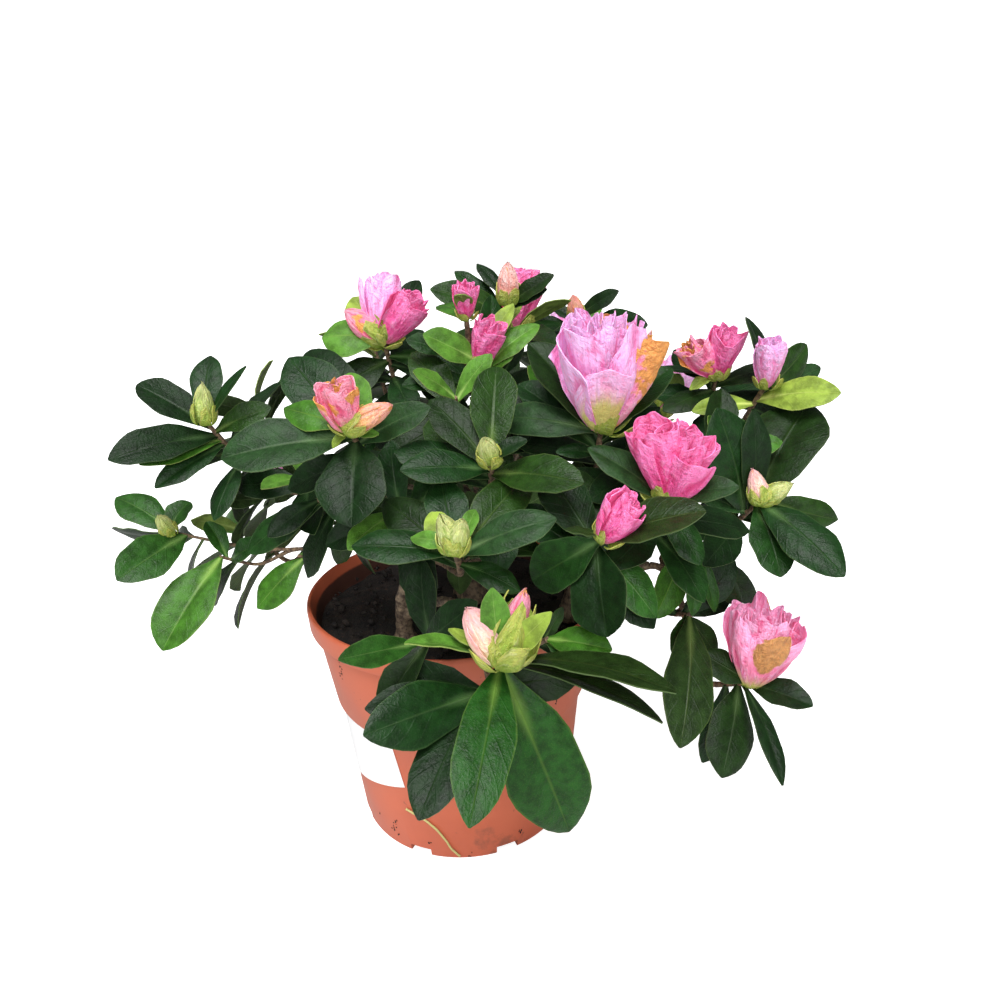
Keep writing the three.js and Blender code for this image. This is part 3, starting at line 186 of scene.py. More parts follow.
# The planting plan, mass by mass: the stem its bough leaves, where along it, the bough's rise and, where
# given, the place of its end. A shoot has the place of its tip as turn round the pot's axis, reach and
# height, its lean and the turn it leans toward, and its blossoms and first leaves from the tip down. seen is
# the pixel where a tip shows in the photo, as read off it, and behind marks a blossom that points away. look
# is a blossom's colour and form, and its width and length as shares of the growing rule's. spiral gives the
# number of further leaves, the length of a full one and the bearing of the first. A leaf without a tint is
# dark.
MASSES = [
    dict(name="front_low", stem="stem_left", leave=0.45, rise=5, hub=(272, 56, 118), shoots=[
        dict(
            tip=(281, 92, 116), lean=(55, 272), spiral=(2, 28, 230),
            blossom=[
                dict(kind="bud", seen=(466, 607), size=1.05, look=("cream", "bud", 0.9, 0.95)),
                dict(kind="small", seen=(526, 590), size=1.85, look=("rose", "tip", 0.95, 1)),
            ],
            leaves=[
                dict(seen=(492, 588), width=0.4, over=True, tint="green"),
                dict(seen=(520, 602), width=0.62, stretch=1.12, over=True, tint="lime"),
                dict(seen=(552, 612), width=0.3, face=0.5, over=True, tint="lime"),
                dict(seen=(448, 630), width=0.34, face=0.6, over=True, tint="lime"),
                dict(seen=(404, 644), width=0.3, face=0.4, tint="green"),
                dict(seen=(469, 828), width=0.36, stretch=1.12, tint="broad"),
                dict(seen=(568, 831), width=0.45, stretch=1.15, tint="broad"),
                dict(seen=(676, 694), width=0.3, face=0.35, tint="olive"),
                dict(seen=(663, 722), width=0.24, face=0.4, tint="olive"),
            ],
        ),
        dict(
            tip=(278, 83, 100), lean=(60, 262), spiral=(2, 30, 300),
            leaves=[
                dict(seen=(363, 735)), dict(seen=(418, 820), width=0.44), dict(seen=(365, 710), width=0.36),
            ],
        ),
        dict(
            tip=(264, 76, 114), lean=(65, 240), spiral=(3, 26, 60),
            leaves=[dict(seen=(338, 660), width=0.36, tint="middle"), dict(seen=(386, 580), width=0.5)],
        ),
        dict(
            tip=(294, 79, 112), lean=(55, 290), spiral=(3, 26, 200),
            leaves=[
                dict(seen=(612, 650), width=0.55, tint="bright"),
                dict(seen=(585, 676), width=0.4, tint="middle"), dict(seen=(562, 607), width=0.42),
            ],
        ),
    ]),
    dict(name="front_middle", stem="stem_left", leave=1, rise=10, shoots=[
        dict(
            tip=(274, 84, 149), lean=(50, 270), spiral=(2, 28, 175),
            blossom=[
                dict(kind="small", seen=(440, 515), look=("green", "small", 0.95, 1)),
                dict(kind="small", seen=(462, 520), look=("green", "small", 0.9, 1)),
            ],
            leaves=[
                dict(seen=(411, 538), width=0.42, tint="green"),
                dict(seen=(430, 513), width=0.6, tint="lime"),
                dict(seen=(475, 510), width=0.4, tint="green"), dict(seen=(352, 546), width=0.44),
                dict(seen=(556, 518), width=0.42, tint="grey"), dict(seen=(527, 474), width=0.42),
                dict(seen=(440, 478), width=0.5), dict(seen=(384, 500), width=0.44),
                dict(seen=(520, 592), width=0.45),
            ],
        ),
        dict(
            tip=(286, 60, 167), lean=(40, 270), spiral=(5, 34, 120),
            blossom=[dict(kind="small", seen=(484, 436), look=("green", "small", 0.9, 0.9))],
            leaves=[
                dict(seen=(527, 440)), dict(seen=(497, 367)), dict(seen=(430, 400)), dict(seen=(400, 470)),
            ],
        ),
        dict(tip=(254, 52, 149), lean=(50, 255), spiral=(8, 30, 60)),
    ]),
    dict(name="front_right", stem="stem_right", leave=0.8, rise=6, shoots=[
        dict(
            tip=(303, 90, 147), lean=(50, 285), spiral=(4, 30, 10),
            blossom=[dict(kind="half", seen=(637, 492), size=0.75, look=("hot", "half", 0.86, 0.88))],
            leaves=[
                dict(seen=(565, 530), width=0.3, face=0.5, tint="olive"), dict(seen=(532, 580), width=0.62),
                dict(seen=(706, 511), width=0.55, tint="olive"), dict(seen=(608, 637), width=0.78),
                dict(seen=(545, 471), width=0.6), dict(seen=(655, 618), width=0.5, tint="middle"),
            ],
        ),
        dict(
            tip=(319, 94, 154), lean=(30, 290), spiral=(6, 30, 200),
            blossom=[
                dict(kind="half", seen=(650, 422), size=1.05, look=("hot", "roll", 0.9, 0.94)),
                dict(kind="half", seen=(696, 434), size=0.95, look=("hot", "ragged", 0.88, 0.94)),
            ],
            leaves=[
                dict(seen=(739, 488), width=0.44, tint="grey"),
                dict(seen=(588, 448), width=0.42, tint="grey"), dict(seen=(700, 565), width=0.5),
            ],
        ),
        dict(tip=(325, 79, 158), lean=(50, 290), spiral=(7, 30, 330)),
    ]),
    dict(name="left_front", stem="trunk", leave=0.78, rise=6, shoots=[
        dict(
            tip=(244, 61, 178), lean=(45, 262), spiral=(2, 28, 120),
            blossom=[
                dict(kind="half", seen=(332, 383), size=0.65, look=("rose", "ragged", 0.95, 0.95)),
                dict(kind="bud", seen=(398, 402), look=("apricot", "bud", 0.68, 0.86)),
            ],
            leaves=[
                dict(seen=(284, 408), width=0.5, tint="bright"),
                dict(seen=(333, 448), width=0.42, tint="lime"),
                dict(seen=(379, 434), width=0.42, tint="green"),
                dict(seen=(221, 458), width=0.5, tint="grey"), dict(seen=(352, 527), width=0.8),
                dict(seen=(431, 408), width=0.42, tint="grey"), dict(seen=(288, 358), width=0.5),
                dict(seen=(350, 373), width=0.5, tint="green"), dict(seen=(312, 350), width=0.45),
            ],
        ),
        dict(
            tip=(222, 57, 149), lean=(60, 230), spiral=(2, 28, 60),
            leaves=[
                dict(seen=(268, 537), width=0.48), dict(seen=(247, 552), width=0.4),
                dict(seen=(345, 500), width=0.5),
            ],
        ),
        dict(tip=(197, 55, 150), lean=(45, 250), spiral=(5, 30, 208)),
    ]),
    dict(name="left", stem="trunk", leave=0.62, rise=8, shoots=[
        dict(
            tip=(190, 87, 173), lean=(35, 240), spiral=(4, 28, 110),
            blossom=[dict(kind="small", seen=(202, 384), size=1.15, look=("green", "small", 0.85, 1))],
            leaves=[
                dict(seen=(211, 356), width=0.48), dict(seen=(246, 366), width=0.2, face=0.5),
                dict(seen=(137, 385), width=0.46), dict(seen=(271, 407), width=0.48),
                dict(seen=(108, 460), width=0.42), dict(seen=(139, 464), width=0.36, tint="bright"),
                dict(seen=(155, 488), width=0.36), dict(seen=(284, 382), width=0.24, face=0.5),
            ],
        ),
    ]),
    dict(name="left_low", stem="trunk", leave=0.5, rise=8, hub=(206, 42, 126), shoots=[
        dict(
            tip=(188, 107, 131), lean=(65, 205), spiral=(3, 22, 250),
            blossom=[dict(kind="small", seen=(158, 515), look=("green", "small", 0.8, 0.95))],
            leaves=[
                dict(seen=(190, 502), width=0.8, tint="middle"),
                dict(seen=(116, 498), width=0.48, tint="middle"), dict(seen=(112, 528), width=0.4),
                dict(seen=(117, 581), width=0.6, tint="middle"),
            ],
        ),
        dict(
            tip=(197.5, 60, 120.5), lean=(72, 200), spiral=(0, 22, 60),
            leaves=[
                dict(seen=(337, 529), width=0.4, tint="middle"),
                dict(seen=(257, 608), width=0.56, tint="bright"),
            ],
        ),
        dict(
            tip=(190, 89, 120), lean=(60, 220), spiral=(2, 22, 60),
            leaves=[
                dict(seen=(163, 651), width=0.56, tint="bright"),
                dict(seen=(206, 522), width=0.5, tint="middle"),
            ],
        ),
    ]),
    dict(name="top_left", stem="trunk", leave=0.9, rise=2, shoots=[
        dict(
            tip=(148, 28, 196), lean=(30, 262), spiral=(6, 28, 230),
            blossom=[
                dict(kind="half", seen=(380, 276), behind=True, look=("lilac", "half", 0.85, 0.95)),
                dict(kind="half", seen=(418, 291), look=("hot", "half", 0.74, 0.92)),
                dict(kind="bud", seen=(336, 304), behind=True, size=1.2, look=("rose", "bud", 0.8, 0.8)),
            ],
            leaves=[
                dict(seen=(322, 338), width=0.78, tint="green"), dict(seen=(386, 292), width=0.5, over=True),
                dict(seen=(419, 281), width=0.36, over=True),
                dict(seen=(353, 297), width=0.6, over=True, tint="lime"), dict(seen=(471, 370), width=0.38),
                dict(seen=(338, 392), width=0.7), dict(seen=(470, 386), width=0.3),
            ],
        ),
    ]),
    dict(name="top", stem="trunk", leave=1, rise=0, shoots=[
        dict(
            tip=(329, 16, 189), lean=(30, 268), spiral=(5, 28, 150),
            blossom=[dict(kind="half", seen=(489, 315), size=0.75, look=("hot", "ragged", 0.84, 0.9))],
            leaves=[
                dict(seen=(423, 334), width=0.52, tint="green"),
                dict(seen=(513, 304), width=0.32, tint="lime"),
                dict(seen=(539, 325), width=0.4, tint="green"),
                dict(seen=(513, 356), width=0.36, tint="green"), dict(seen=(491, 295), width=0.36),
                dict(seen=(402, 385), width=0.34),
            ],
        ),
        dict(
            tip=(45, 35, 208), lean=(25, 270), spiral=(6, 26, 0),
            blossom=[dict(kind="bud", seen=(508, 264), size=0.8, look=("salmon", "bud", 1, 1))],
            leaves=[
                dict(seen=(477, 264), width=0.36), dict(seen=(554, 275), width=0.4),
                dict(seen=(547, 289), width=0.34), dict(seen=(430, 290), width=0.42),
                dict(seen=(455, 272), width=0.3), dict(seen=(522, 300), width=0.3, tint="lime"),
            ],
        ),
        dict(tip=(282, 22, 179), lean=(40, 262), spiral=(8, 30, 270)),
        dict(
            tip=(320, 12, 206), lean=(20, 262), spiral=(2, 24, 180),
            blossom=[dict(kind="half", seen=(466, 284), size=0.5, look=("hot", "half", 0.95, 1))],
        ),
    ]),
    dict(name="top_right", stem="trunk", leave=0.86, rise=2, shoots=[
        dict(
            tip=(45, 78, 198), lean=(25, 275), spiral=(8, 26, 260),
            blossom=[dict(kind="small", seen=(573, 296), look=("apricot", "small", 1, 1))],
            leaves=[
                dict(seen=(619, 291), width=0.38), dict(seen=(553, 306), width=0.5),
                dict(seen=(602, 306), width=0.5, tint="green"), dict(seen=(518, 322), width=0.36),
                dict(seen=(648, 325), width=0.5),
            ],
        ),
    ]),
    dict(name="centre_right", stem="trunk", leave=0.75, rise=6, shoots=[
        dict(
            tip=(319, 69, 173), lean=(30, 270), spiral=(5, 30, 160),
            blossom=[
                dict(kind="cup", seen=(596, 320), size=1.2, look=("lavender", "cup", 0.9, 1)),
                dict(kind="half", seen=(645, 312), behind=True, size=1.5,
                     look=("singed", "ragged", 0.78, 0.84)),
            ],
            leaves=[
                dict(seen=(628, 436), width=0.3, face=0.5, tint="grey"),
                dict(seen=(490, 417), width=0.36, tint="grey"), dict(seen=(528, 344), width=0.46),
                dict(seen=(672, 369), width=0.5), dict(seen=(660, 408), width=0.36),
                dict(seen=(518, 385), width=0.42), dict(seen=(556, 452), width=0.4),
            ],
        ),
        dict(tip=(343, 42, 171), lean=(35, 275), spiral=(8, 32, 312)),
    ]),
    dict(name="right_high", stem="trunk", leave=0.6, rise=12, shoots=[
        dict(
            tip=(8, 107, 178), lean=(30, 265), spiral=(7, 28, 90),
            blossom=[
                dict(kind="half", seen=(686, 345), size=0.75, look=("singed hot", "ragged", 0.9, 0.95)),
                dict(kind="half", seen=(729, 325), size=0.85, look=("hot", "half", 0.82, 0.95)),
                dict(kind="bud", seen=(723, 350), size=0.65, look=("cream", "bud", 1, 1)),
            ],
            leaves=[
                dict(seen=(690, 390), width=0.4, stretch=1.2, tint="lime"),
                dict(seen=(648, 370), width=0.2, face=0.4), dict(seen=(674, 350), width=0.5),
            ],
        ),
        dict(
            tip=(358, 119, 177), lean=(35, 290), spiral=(4, 28, 180),
            blossom=[dict(kind="half", seen=(773, 337), size=0.75, look=("lilac", "half", 0.84, 0.95))],
            leaves=[
                dict(seen=(777, 380), width=0.7, stretch=1.3, tint="green"),
                dict(seen=(746, 317), width=0.52), dict(seen=(807, 345), width=0.5),
                dict(seen=(820, 367), width=0.3, tint="grey"),
                dict(seen=(841, 393), width=0.48, tint="lime"),
                dict(seen=(692, 411), width=0.36, tint="lime"),
            ],
        ),
    ]),
    dict(name="right", stem="stem_right", leave=0.98, rise=8, shoots=[
        dict(
            tip=(342, 115, 143), lean=(45, 290), spiral=(3, 30, 104),
            blossom=[
                dict(kind="small", seen=(752, 468), size=1.05, look=("cream", "small", 0.9, 0.95)),
                dict(kind="small", seen=(794, 483), size=1.05, look=("green", "small", 0.85, 0.95)),
            ],
            leaves=[
                dict(seen=(838, 519), width=0.42), dict(seen=(844, 577), width=0.46),
                dict(seen=(781, 577), width=0.62), dict(seen=(808, 404), width=0.68, face=0.9, stretch=1.1),
                dict(seen=(754, 410), width=0.34), dict(seen=(693, 490), width=0.45, tint="grey"),
                dict(seen=(716, 408), width=0.5),
            ],
        ),
        dict(tip=(346, 101, 156), lean=(45, 285), spiral=(7, 30, 320)),
    ]),
    dict(name="right_low", stem="stem_right", leave=0.45, rise=4, hub=(336, 79, 118), shoots=[
        dict(
            tip=(334, 117, 80), lean=(60, 300), spiral=(2, 28, 80),
            blossom=[dict(kind="cup", seen=(770, 603), size=1.05, look=("browned", "cup", 0.94, 0.92))],
            leaves=[
                dict(seen=(700, 652), width=0.6), dict(seen=(813, 706), width=0.5),
                dict(seen=(783, 786), width=0.22, face=0.7), dict(seen=(722, 778), width=0.58),
                dict(seen=(748, 603), width=0.5),
            ],
        ),
        dict(
            tip=(338, 95, 127), lean=(60, 300), spiral=(3, 26, 60),
            leaves=[
                dict(seen=(692, 616), width=0.32, tint="middle"),
                dict(seen=(714, 612), width=0.26, tint="middle"), dict(seen=(741, 606), width=0.3),
                dict(seen=(757, 602), width=0.3), dict(seen=(653, 618), width=0.5, tint="bright"),
            ],
        ),
        dict(
            tip=(332, 95, 104), lean=(65, 280), spiral=(4, 26, 26),
            leaves=[
                dict(seen=(680, 748), width=0.42, tint="olive"), dict(seen=(674, 656), width=0.62),
                dict(seen=(716, 655), width=0.5),
            ],
        ),
    ]),
]

# The back of the crown, out of the front's sight: its shoots' reach, height, turn off the sector and lean,
# and the kinds of blossom on the shoots of each sector
BACK = dict(first_turn=28, turn_step=33, leave=(0.78, 0.62), rise=8, spiral=(9, 37))
BACK_SHOOTS = ((94, 162, 0, 38), (92, 124, 14, 52), (50, 192, -4, 22))
BACK_BLOSSOM = (
    (("half", "half"), ("bud",)),
    (("bloom",), (), ("half",)),
    (("half", "half"), ("bud",)),
    ((), ("half",), ()),
    ((), ()),
)
BACK_TURN_SPREAD = 4
BACK_PLACE_SPREAD = 6
BACK_HEAD_OPENING = 8
BACK_HEAD_STEP = 20
BACK_COLOURS = ("lilac", "hot", "rose")

rng = np.random.default_rng(20)


def vec(*numbers):
    return np.array(numbers, float)


def unit(vector):
    return vector / np.linalg.norm(vector)


def mix(low, high, share):
    return low + (high - low) * share


def polar(turn, reach, height):
    angle = math.radians(turn)
    return vec(reach * math.cos(angle), reach * math.sin(angle), height)


def leaning(lean, toward):
    return polar(toward, math.sin(math.radians(lean)), math.cos(math.radians(lean)))


def heading(axis, bearing, opening):
    """A direction off a shoot's line: its bearing is read like a clock that faces the tip, with 0 on top"""
    top = unit(vec(0, 0, 1) - axis * axis[2])
    right = np.cross(top, axis)
    clock = math.radians(bearing)
    outward = top * math.cos(clock) + right * math.sin(clock)
    return axis * math.cos(math.radians(opening)) + outward * math.sin(math.radians(opening))


def turned(vector, axis, angle):
    """The vector turned about an axis, in degrees"""
    a = math.radians(angle)
    along = axis * (vector @ axis) * (1 - math.cos(a))
    return vector * math.cos(a) + np.cross(axis, vector) * math.sin(a) + along


class Draw:
    """A seeded draw, the same on every run"""

    def __init__(self, seed):
        self.state = seed

    def next(self):
        self.state = (self.state * 1664525 + 1013904223) % 4294967296
        return self.state / 4294967296

    def around(self, spread):
        return (2 * self.next() - 1) * spread


def outline(share):
    """Half width of a leaf from its foot, 0, to its tip, 1, as a share of the widest"""
    t = np.clip(share, 0, 1)
    widest = FOOT_SHAPE / (FOOT_SHAPE + TIP_SHAPE)
    full = widest ** FOOT_SHAPE * (1 - widest) ** TIP_SHAPE
    return t ** FOOT_SHAPE * (1 - t) ** TIP_SHAPE / full


class Curve:
    """A smooth line through control points of its own, read at a share of its length"""

    def __init__(self, *points):
        self.points = [np.asarray(point, float) for point in points]

    def point(self, share):
        points = self.points
        while len(points) > 1:
            points = [mix(a, b, share) for a, b in zip(points, points[1:])]
        return points[0]

    def tangent(self, share):
        low, high = max(0, share - 1e-4), min(1, share + 1e-4)
        return unit(self.point(high) - self.point(low))


class Twig:
    """A twig leaves along its limb, bends to its shoot's line and runs straight under the leaves"""

    def __init__(self, low, tip, axis, start, onward):
        span = np.linalg.norm(low - start)
        self.bent = Curve(start, start + onward * TWIG_LEAVING * span, low - axis * TWIG_ARRIVING * span, low)
        self.straight = Curve(low, tip + axis * TWIG_END)

    def stretch(self, share):
        if share <= TWIG_BENT:
            return self.bent, share / TWIG_BENT
        return self.straight, (share - TWIG_BENT) / (1 - TWIG_BENT)

    def point(self, share):
        curve, local = self.stretch(share)
        return curve.point(local)

    def tangent(self, share):
        curve, local = self.stretch(share)
        return curve.tangent(local)


class Leaf:
    """A blade bent along an arc, away from its shoot's line, and twisted about its own line"""

    def __init__(self, owner, foot, bearing, opening, length, twist=0, width=LEAF_WIDTH):
        axis = owner["axis"]
        chord = heading(axis, bearing, opening)
        start = opening - LEAF_BEND / 2
        self.owner = owner
        self.foot = foot
        self.length = length
        self.width = length * width
        self.ahead = turned(heading(axis, bearing, start), chord, twist)
        self.top = turned(-heading(axis, bearing, start + 90), chord, twist)
        self.side = np.cross(self.ahead, self.top)
        self.arc = math.radians(LEAF_BEND)
        self.radius = length / self.arc
        self.middle = self.at(0.5)
        self.net = None
        self.tint = "dark"
        self.in_photo = False

    def half(self, share):
        return self.width / 2 * outline(share)

    def at(self, share, side_offset=0.0, lift=0.0):
        """Places on the blade, the offset to the side in millimetres"""
        turn = np.asarray(share * self.arc)[..., None]
        radius = np.asarray(self.radius + lift)[..., None]
        offset = np.asarray(side_offset)[..., None]
        bowed = self.ahead * radius * np.sin(turn) + self.top * (radius * np.cos(turn) - self.radius)
        return self.foot + bowed + self.side * offset

    def local(self, points):
        offset = points - self.foot
        ahead = offset @ self.ahead
        above = offset @ self.top + self.radius
        return np.arctan2(ahead, above) / self.arc, offset @ self.side, np.hypot(ahead, above) - self.radius

    def covers(self, share, across, room):
        on_length = (share > NET_SHARES[0]) & (share < 1 + room / self.length)
        return on_length & (np.abs(across) < self.half(share) + room)

    def lines(self):
        """Points along the lines of a coarse net over the blade"""
        if self.net is None:
            rows = []
            for share in NET_SHARES:
                rows.append([self.at(share, across * self.half(share)) for across in NET_ACROSS])
            pairs = [(row[k - 1], row[k]) for row in rows for k in range(1, len(row))]
            pairs += [(before[k], row[k]) for before, row in zip(rows, rows[1:]) for k in range(len(row))]
            ends = np.array(pairs)
            steps = np.linspace(0, 1, NET_STEPS + 1)[None, :, None]
            self.net = mix(ends[:, :1], ends[:, 1:], steps)
        return self.net


def net_meets_leaf(net, leaf, room):
    """True where a line of the net comes within the room of a leaf's blade, or passes through it"""
    share, across, lift = leaf.local(net)
    over = leaf.covers(share, across, room)
    crosses = over[:, 1:] & over[:, :-1] & (lift[:, 1:] * lift[:, :-1] < 0)
    return bool((over & (np.abs(lift) < room)).any() or crosses.any())


def leaves_meet(one, other):
    room = LEAF_ROOM_IN_MASS if one.owner["mass"] == other.owner["mass"] else LEAF_ROOM
    return net_meets_leaf(one.lines(), other, room) or net_meets_leaf(other.lines(), one, room)


def in_pot(points):
    height = points[..., 2]
    wall = mix(BASE_RADIUS, RIM_RADIUS, np.clip(height / POT_HEIGHT, 0, 1)) + POT_ROOM
    return (height < POT_HEIGHT + POT_ROOM) & (np.hypot(points[..., 0], points[..., 1]) < wall)


class Growth:
    """What has grown so far: the rods of wood and blossom, and the leaves"""

    def __init__(self):
        self.rods = []
        self.leaves = []
        self.spots = None

    def add_rod(self, start, end, radius, owner=None, bare=False):
        self.rods.append((start, end, radius, owner, bare))
        self.spots = None

    def add_route(self, curve, steps, radius):
        points = [curve.point(k / steps) for k in range(steps + 1)]
        for start, end in zip(points, points[1:]):
            self.add_rod(start, end, radius)

    def rod_spots(self):
        """Points along all rods, with the radius and the owner's number of each"""
        if self.spots is None:
            points, radii, owners = [], [], []
            for start, end, radius, owner, _ in self.rods:
                steps = math.ceil(np.linalg.norm(end - start) / ROD_STEP)
                for step in range(steps + 1):
                    points.append(mix(start, end, step / steps))
                    radii.append(radius)
                    owners.append(owner["seed"] if owner else -1)
            self.spots = np.array(points), np.array(radii), np.array(owners)
        return self.spots

    def meets_rods(self, leaf):
        points, radii, owners = self.rod_spots()
        share, across, lift = leaf.local(points)
        near = leaf.covers(share, across, radii) & (np.abs(lift) < radii + ROD_ROOM)
        if (near & (owners != leaf.owner["seed"])).any():
            return True
        for start, end, radius, owner, bare in self.rods:
            if owner is not leaf.owner or bare:
                continue
            share, across, lift = leaf.local(mix(start, end, HEAD_OUTER))
            if leaf.covers(share, across, 0) and abs(lift) < radius * HEAD_ROOM:
                return True
        return False

    def meets_leaves(self, leaf):
        if not self.leaves:
            return False
        middles = np.array([other.middle for other in self.leaves])
        lengths = np.array([other.length for other in self.leaves])
        near = np.linalg.norm(middles - leaf.middle, axis=1) <= (lengths + leaf.length) * LEAF_REACH
        return any(leaves_meet(leaf, self.leaves[k]) for k in np.flatnonzero(near))

    def is_clear(self, leaf):
        ends = leaf.lines()[:, (0, -1)]
        return not in_pot(ends).any() and not self.meets_rods(leaf) and not self.meets_leaves(leaf)

    def grow(self, owner, foot, bearing, opening, *shape):
        """Adds the leaf at the first of the small turns that finds room, and gives it back"""
        for turn, lean in TRIES:
            leaf = Leaf(owner, foot, bearing + turn, opening + lean, *shape)
            if self.is_clear(leaf):
                self.leaves.append(leaf)
                owner["blades"].append(leaf)
                return leaf
        return None


def photo_view():
    """The camera's lines ahead, to the right and up"""
    down, roll = math.radians(LOOKS_DOWN), math.radians(ROLL)
    level = vec(1, 0, 0)
    upright = vec(0, math.sin(down), math.cos(down))
    right = level * math.cos(roll) + upright * math.sin(roll)
    up = upright * math.cos(roll) - level * math.sin(roll)
    return vec(0, math.cos(down), -math.sin(down)), right, up


VIEW_AHEAD, VIEW_RIGHT, VIEW_UP = photo_view()


def in_photo(points):
    """Pixels across and down, and the distance along the camera's view"""
    offset = points - EYE
    depth = offset @ VIEW_AHEAD
    across = PHOTO_MIDDLE + FOCAL_PIXELS * (offset @ VIEW_RIGHT) / depth
    return across, PHOTO_MIDDLE - FOCAL_PIXELS * (offset @ VIEW_UP) / depth, depth


def sight_line(seen):
    across, down = ((pixel - PHOTO_MIDDLE) / FOCAL_PIXELS for pixel in seen)
    return unit(VIEW_AHEAD + VIEW_RIGHT * across - VIEW_UP * down)


def aim(foot, axis, seen, reach, behind):
    """Bearing and opening, in whole degrees, that bring the end of a straight reach to a place in the photo,
    on the near or the far side, and whether the reach is too short, when it comes as near as it can"""
    sight = sight_line(seen)
    back = EYE - foot
    middle = -back @ sight
    square = middle ** 2 - back @ back + reach ** 2
    half = math.sqrt(max(0, square))
    way = unit(EYE + sight * (middle + half if behind else middle - half) - foot)
    top = unit(vec(0, 0, 1) - axis * axis[2])
    bearing = math.degrees(math.atan2(way @ np.cross(top, axis), way @ top))
    opening = math.degrees(math.acos(min(1, max(-1, way @ axis))))
    return round(bearing % 360), round(opening), square < 0


def leaf_foot(owner, slot):
    """Where a leaf leaves its shoot, counted from the tip down"""
    return owner["tip"] - owner["axis"] * slot * LEAF_SPACING


def hiding(leaf, heads):
    """What a leaf hides in the photo, at a few places on its blade: blossoms behind it, and open places"""
    shares = np.array(HIDING_SHARES)
    spots = np.concatenate([leaf.at(shares, leaf.half(shares) * across) for across in HIDING_ACROSS])
    x, y, depth = in_photo(spots)
    cost = 0
    for head_x, head_y, head_depth, radius in heads:
        over = (np.hypot(x - head_x, y - head_y) < radius) & (depth < head_depth)
        cost += COST["blossom"] * over.sum()
    for left, right, top, bottom, weight in OPEN_PLACES:
        cost += weight * ((x > left) & (x < right) & (y > top) & (y < bottom)).sum()
    return cost


def head_in_photo(head):
    x, y, _ = in_photo(head["foot"] + head["direction"] * head["length"] * HEAD_MIDDLE)
    depth = in_photo(head["foot"])[2]
    return x, y, depth, FOCAL_PIXELS * head["radius"] / depth * HEAD_SHARE


def leaf_in_photo(owner, slot, row, heads, growth):
    """The leaf whose tip comes to its place in the photo: the best of those tried that finds room"""
    foot = leaf_foot(owner, slot)
    offset = foot - EYE
    sight = sight_line(row["seen"])
    least = np.linalg.norm(offset - sight * (offset @ sight))
    half = math.radians(LEAF_BEND) / 2
    bow = half / math.sin(half)
    stretch = row.get("stretch", LEAF_STRETCH) / LEAF_STRETCH
    lengths = sorted({round(least * share * stretch * bow) for share in LENGTHS_TRIED})
    tried = []
    for length in lengths:
        for behind in (False, True):
            bearing, opening, short = aim(foot, owner["axis"], row["seen"], length / bow, behind)
            for twist in range(-MOST_TWIST, MOST_TWIST + 1, TWIST_STEP):
                leaf = Leaf(owner, foot, bearing, opening, length, twist, row.get("width", LEAF_WIDTH))
                upper = leaf.ahead * math.sin(leaf.arc / 2) + leaf.top * math.cos(leaf.arc / 2)
                squarely = -upper @ unit(leaf.middle - EYE)
                cost = abs(squarely - row.get("face", LEAF_FACE)) * COST["face"] + abs(twist) * COST["twist"]
                cost += max(0, -upper[2]) * COST["underside"]
                cost += abs(length / (least * LEAF_STRETCH) - 1) * COST["length"]
                cost += behind * COST["behind"] + short * COST["short"]
                cost += (opening > FOLDED_BACK) * COST["folded_back"]
                if not row.get("over"):
                    cost += hiding(leaf, heads)
                tried.append((cost, leaf))
    tried.sort(key=lambda pair: pair[0])
    return next((leaf for cost, leaf in tried if cost <= MOST_COST and growth.is_clear(leaf)), None)


def make_head(tip, axis, row):
    sizes = {key: value * row.get("size", 1) for key, value in BLOSSOMS[row["kind"]].items()}
    if "seen" in row:
        reach = sizes["length"] + HEAD_SUNK
        bearing, opening, _ = aim(tip, axis, row["seen"], reach, row.get("behind", False))
    else:
        bearing, opening = row["bearing"], row["opening"]
    direction = heading(axis, bearing, opening)
    foot = tip + direction * HEAD_SUNK
    return dict(sizes, kind=row["kind"], foot=foot, direction=direction, look=row.get("look"))


def make_shoot(row, mass, seed):
    row = {**BARE_SHOOT, **row}
    tip, axis = polar(*row["tip"]), leaning(*row["lean"])
    heads = [make_head(tip, axis, blossom) for blossom in row["blossom"]]
    count = len(row["leaves"]) + row["spiral"][0]
    low = tip - axis * (count * LEAF_SPACING + BARE_FOOT)
    return dict(row, tip=tip, axis=axis, heads=heads, count=count, low=low, blades=[], mass=mass, seed=seed)


def back_shoot(place, turn, kinds, draw):
    reach, height, offset, lean = place
    spread = draw.around(BACK_TURN_SPREAD)
    reach += draw.around(BACK_PLACE_SPREAD)
    height += draw.around(BACK_PLACE_SPREAD)
    blossom = []
    for k, kind in enumerate(kinds):
        opening = BACK_HEAD_OPENING + BACK_HEAD_STEP * k
        blossom.append(dict(kind=kind, bearing=draw.next() * 360, opening=opening))
    spiral = (*BACK["spiral"], draw.next() * 360)
    tip = (turn + offset + spread, reach, height)
    return dict(tip=tip, lean=(lean, turn + offset), blossom=blossom, spiral=spiral)


def back_masses():
    masses = []
    for index, blossom in enumerate(BACK_BLOSSOM):
        draw = Draw(BACK_SEED + index)
        turn = BACK["first_turn"] + index * BACK["turn_step"]
        shoots = [back_shoot(place, turn, kinds, draw) for place, kinds in zip(BACK_SHOOTS, blossom)]
        name, leave = f"back_{index + 1}", BACK["leave"][index % 2]
        masses.append(dict(name=name, stem="trunk", leave=leave, rise=BACK["rise"], shoots=shoots))
    return masses


def stem_curve(stem):
    foot = vec(*stem["foot"], COMPOST_TOP + GAP)
    tip = vec(*stem["tip"])
    return Curve(foot, vec(foot[0], foot[1], mix(foot[2], tip[2], 0.5)), tip)


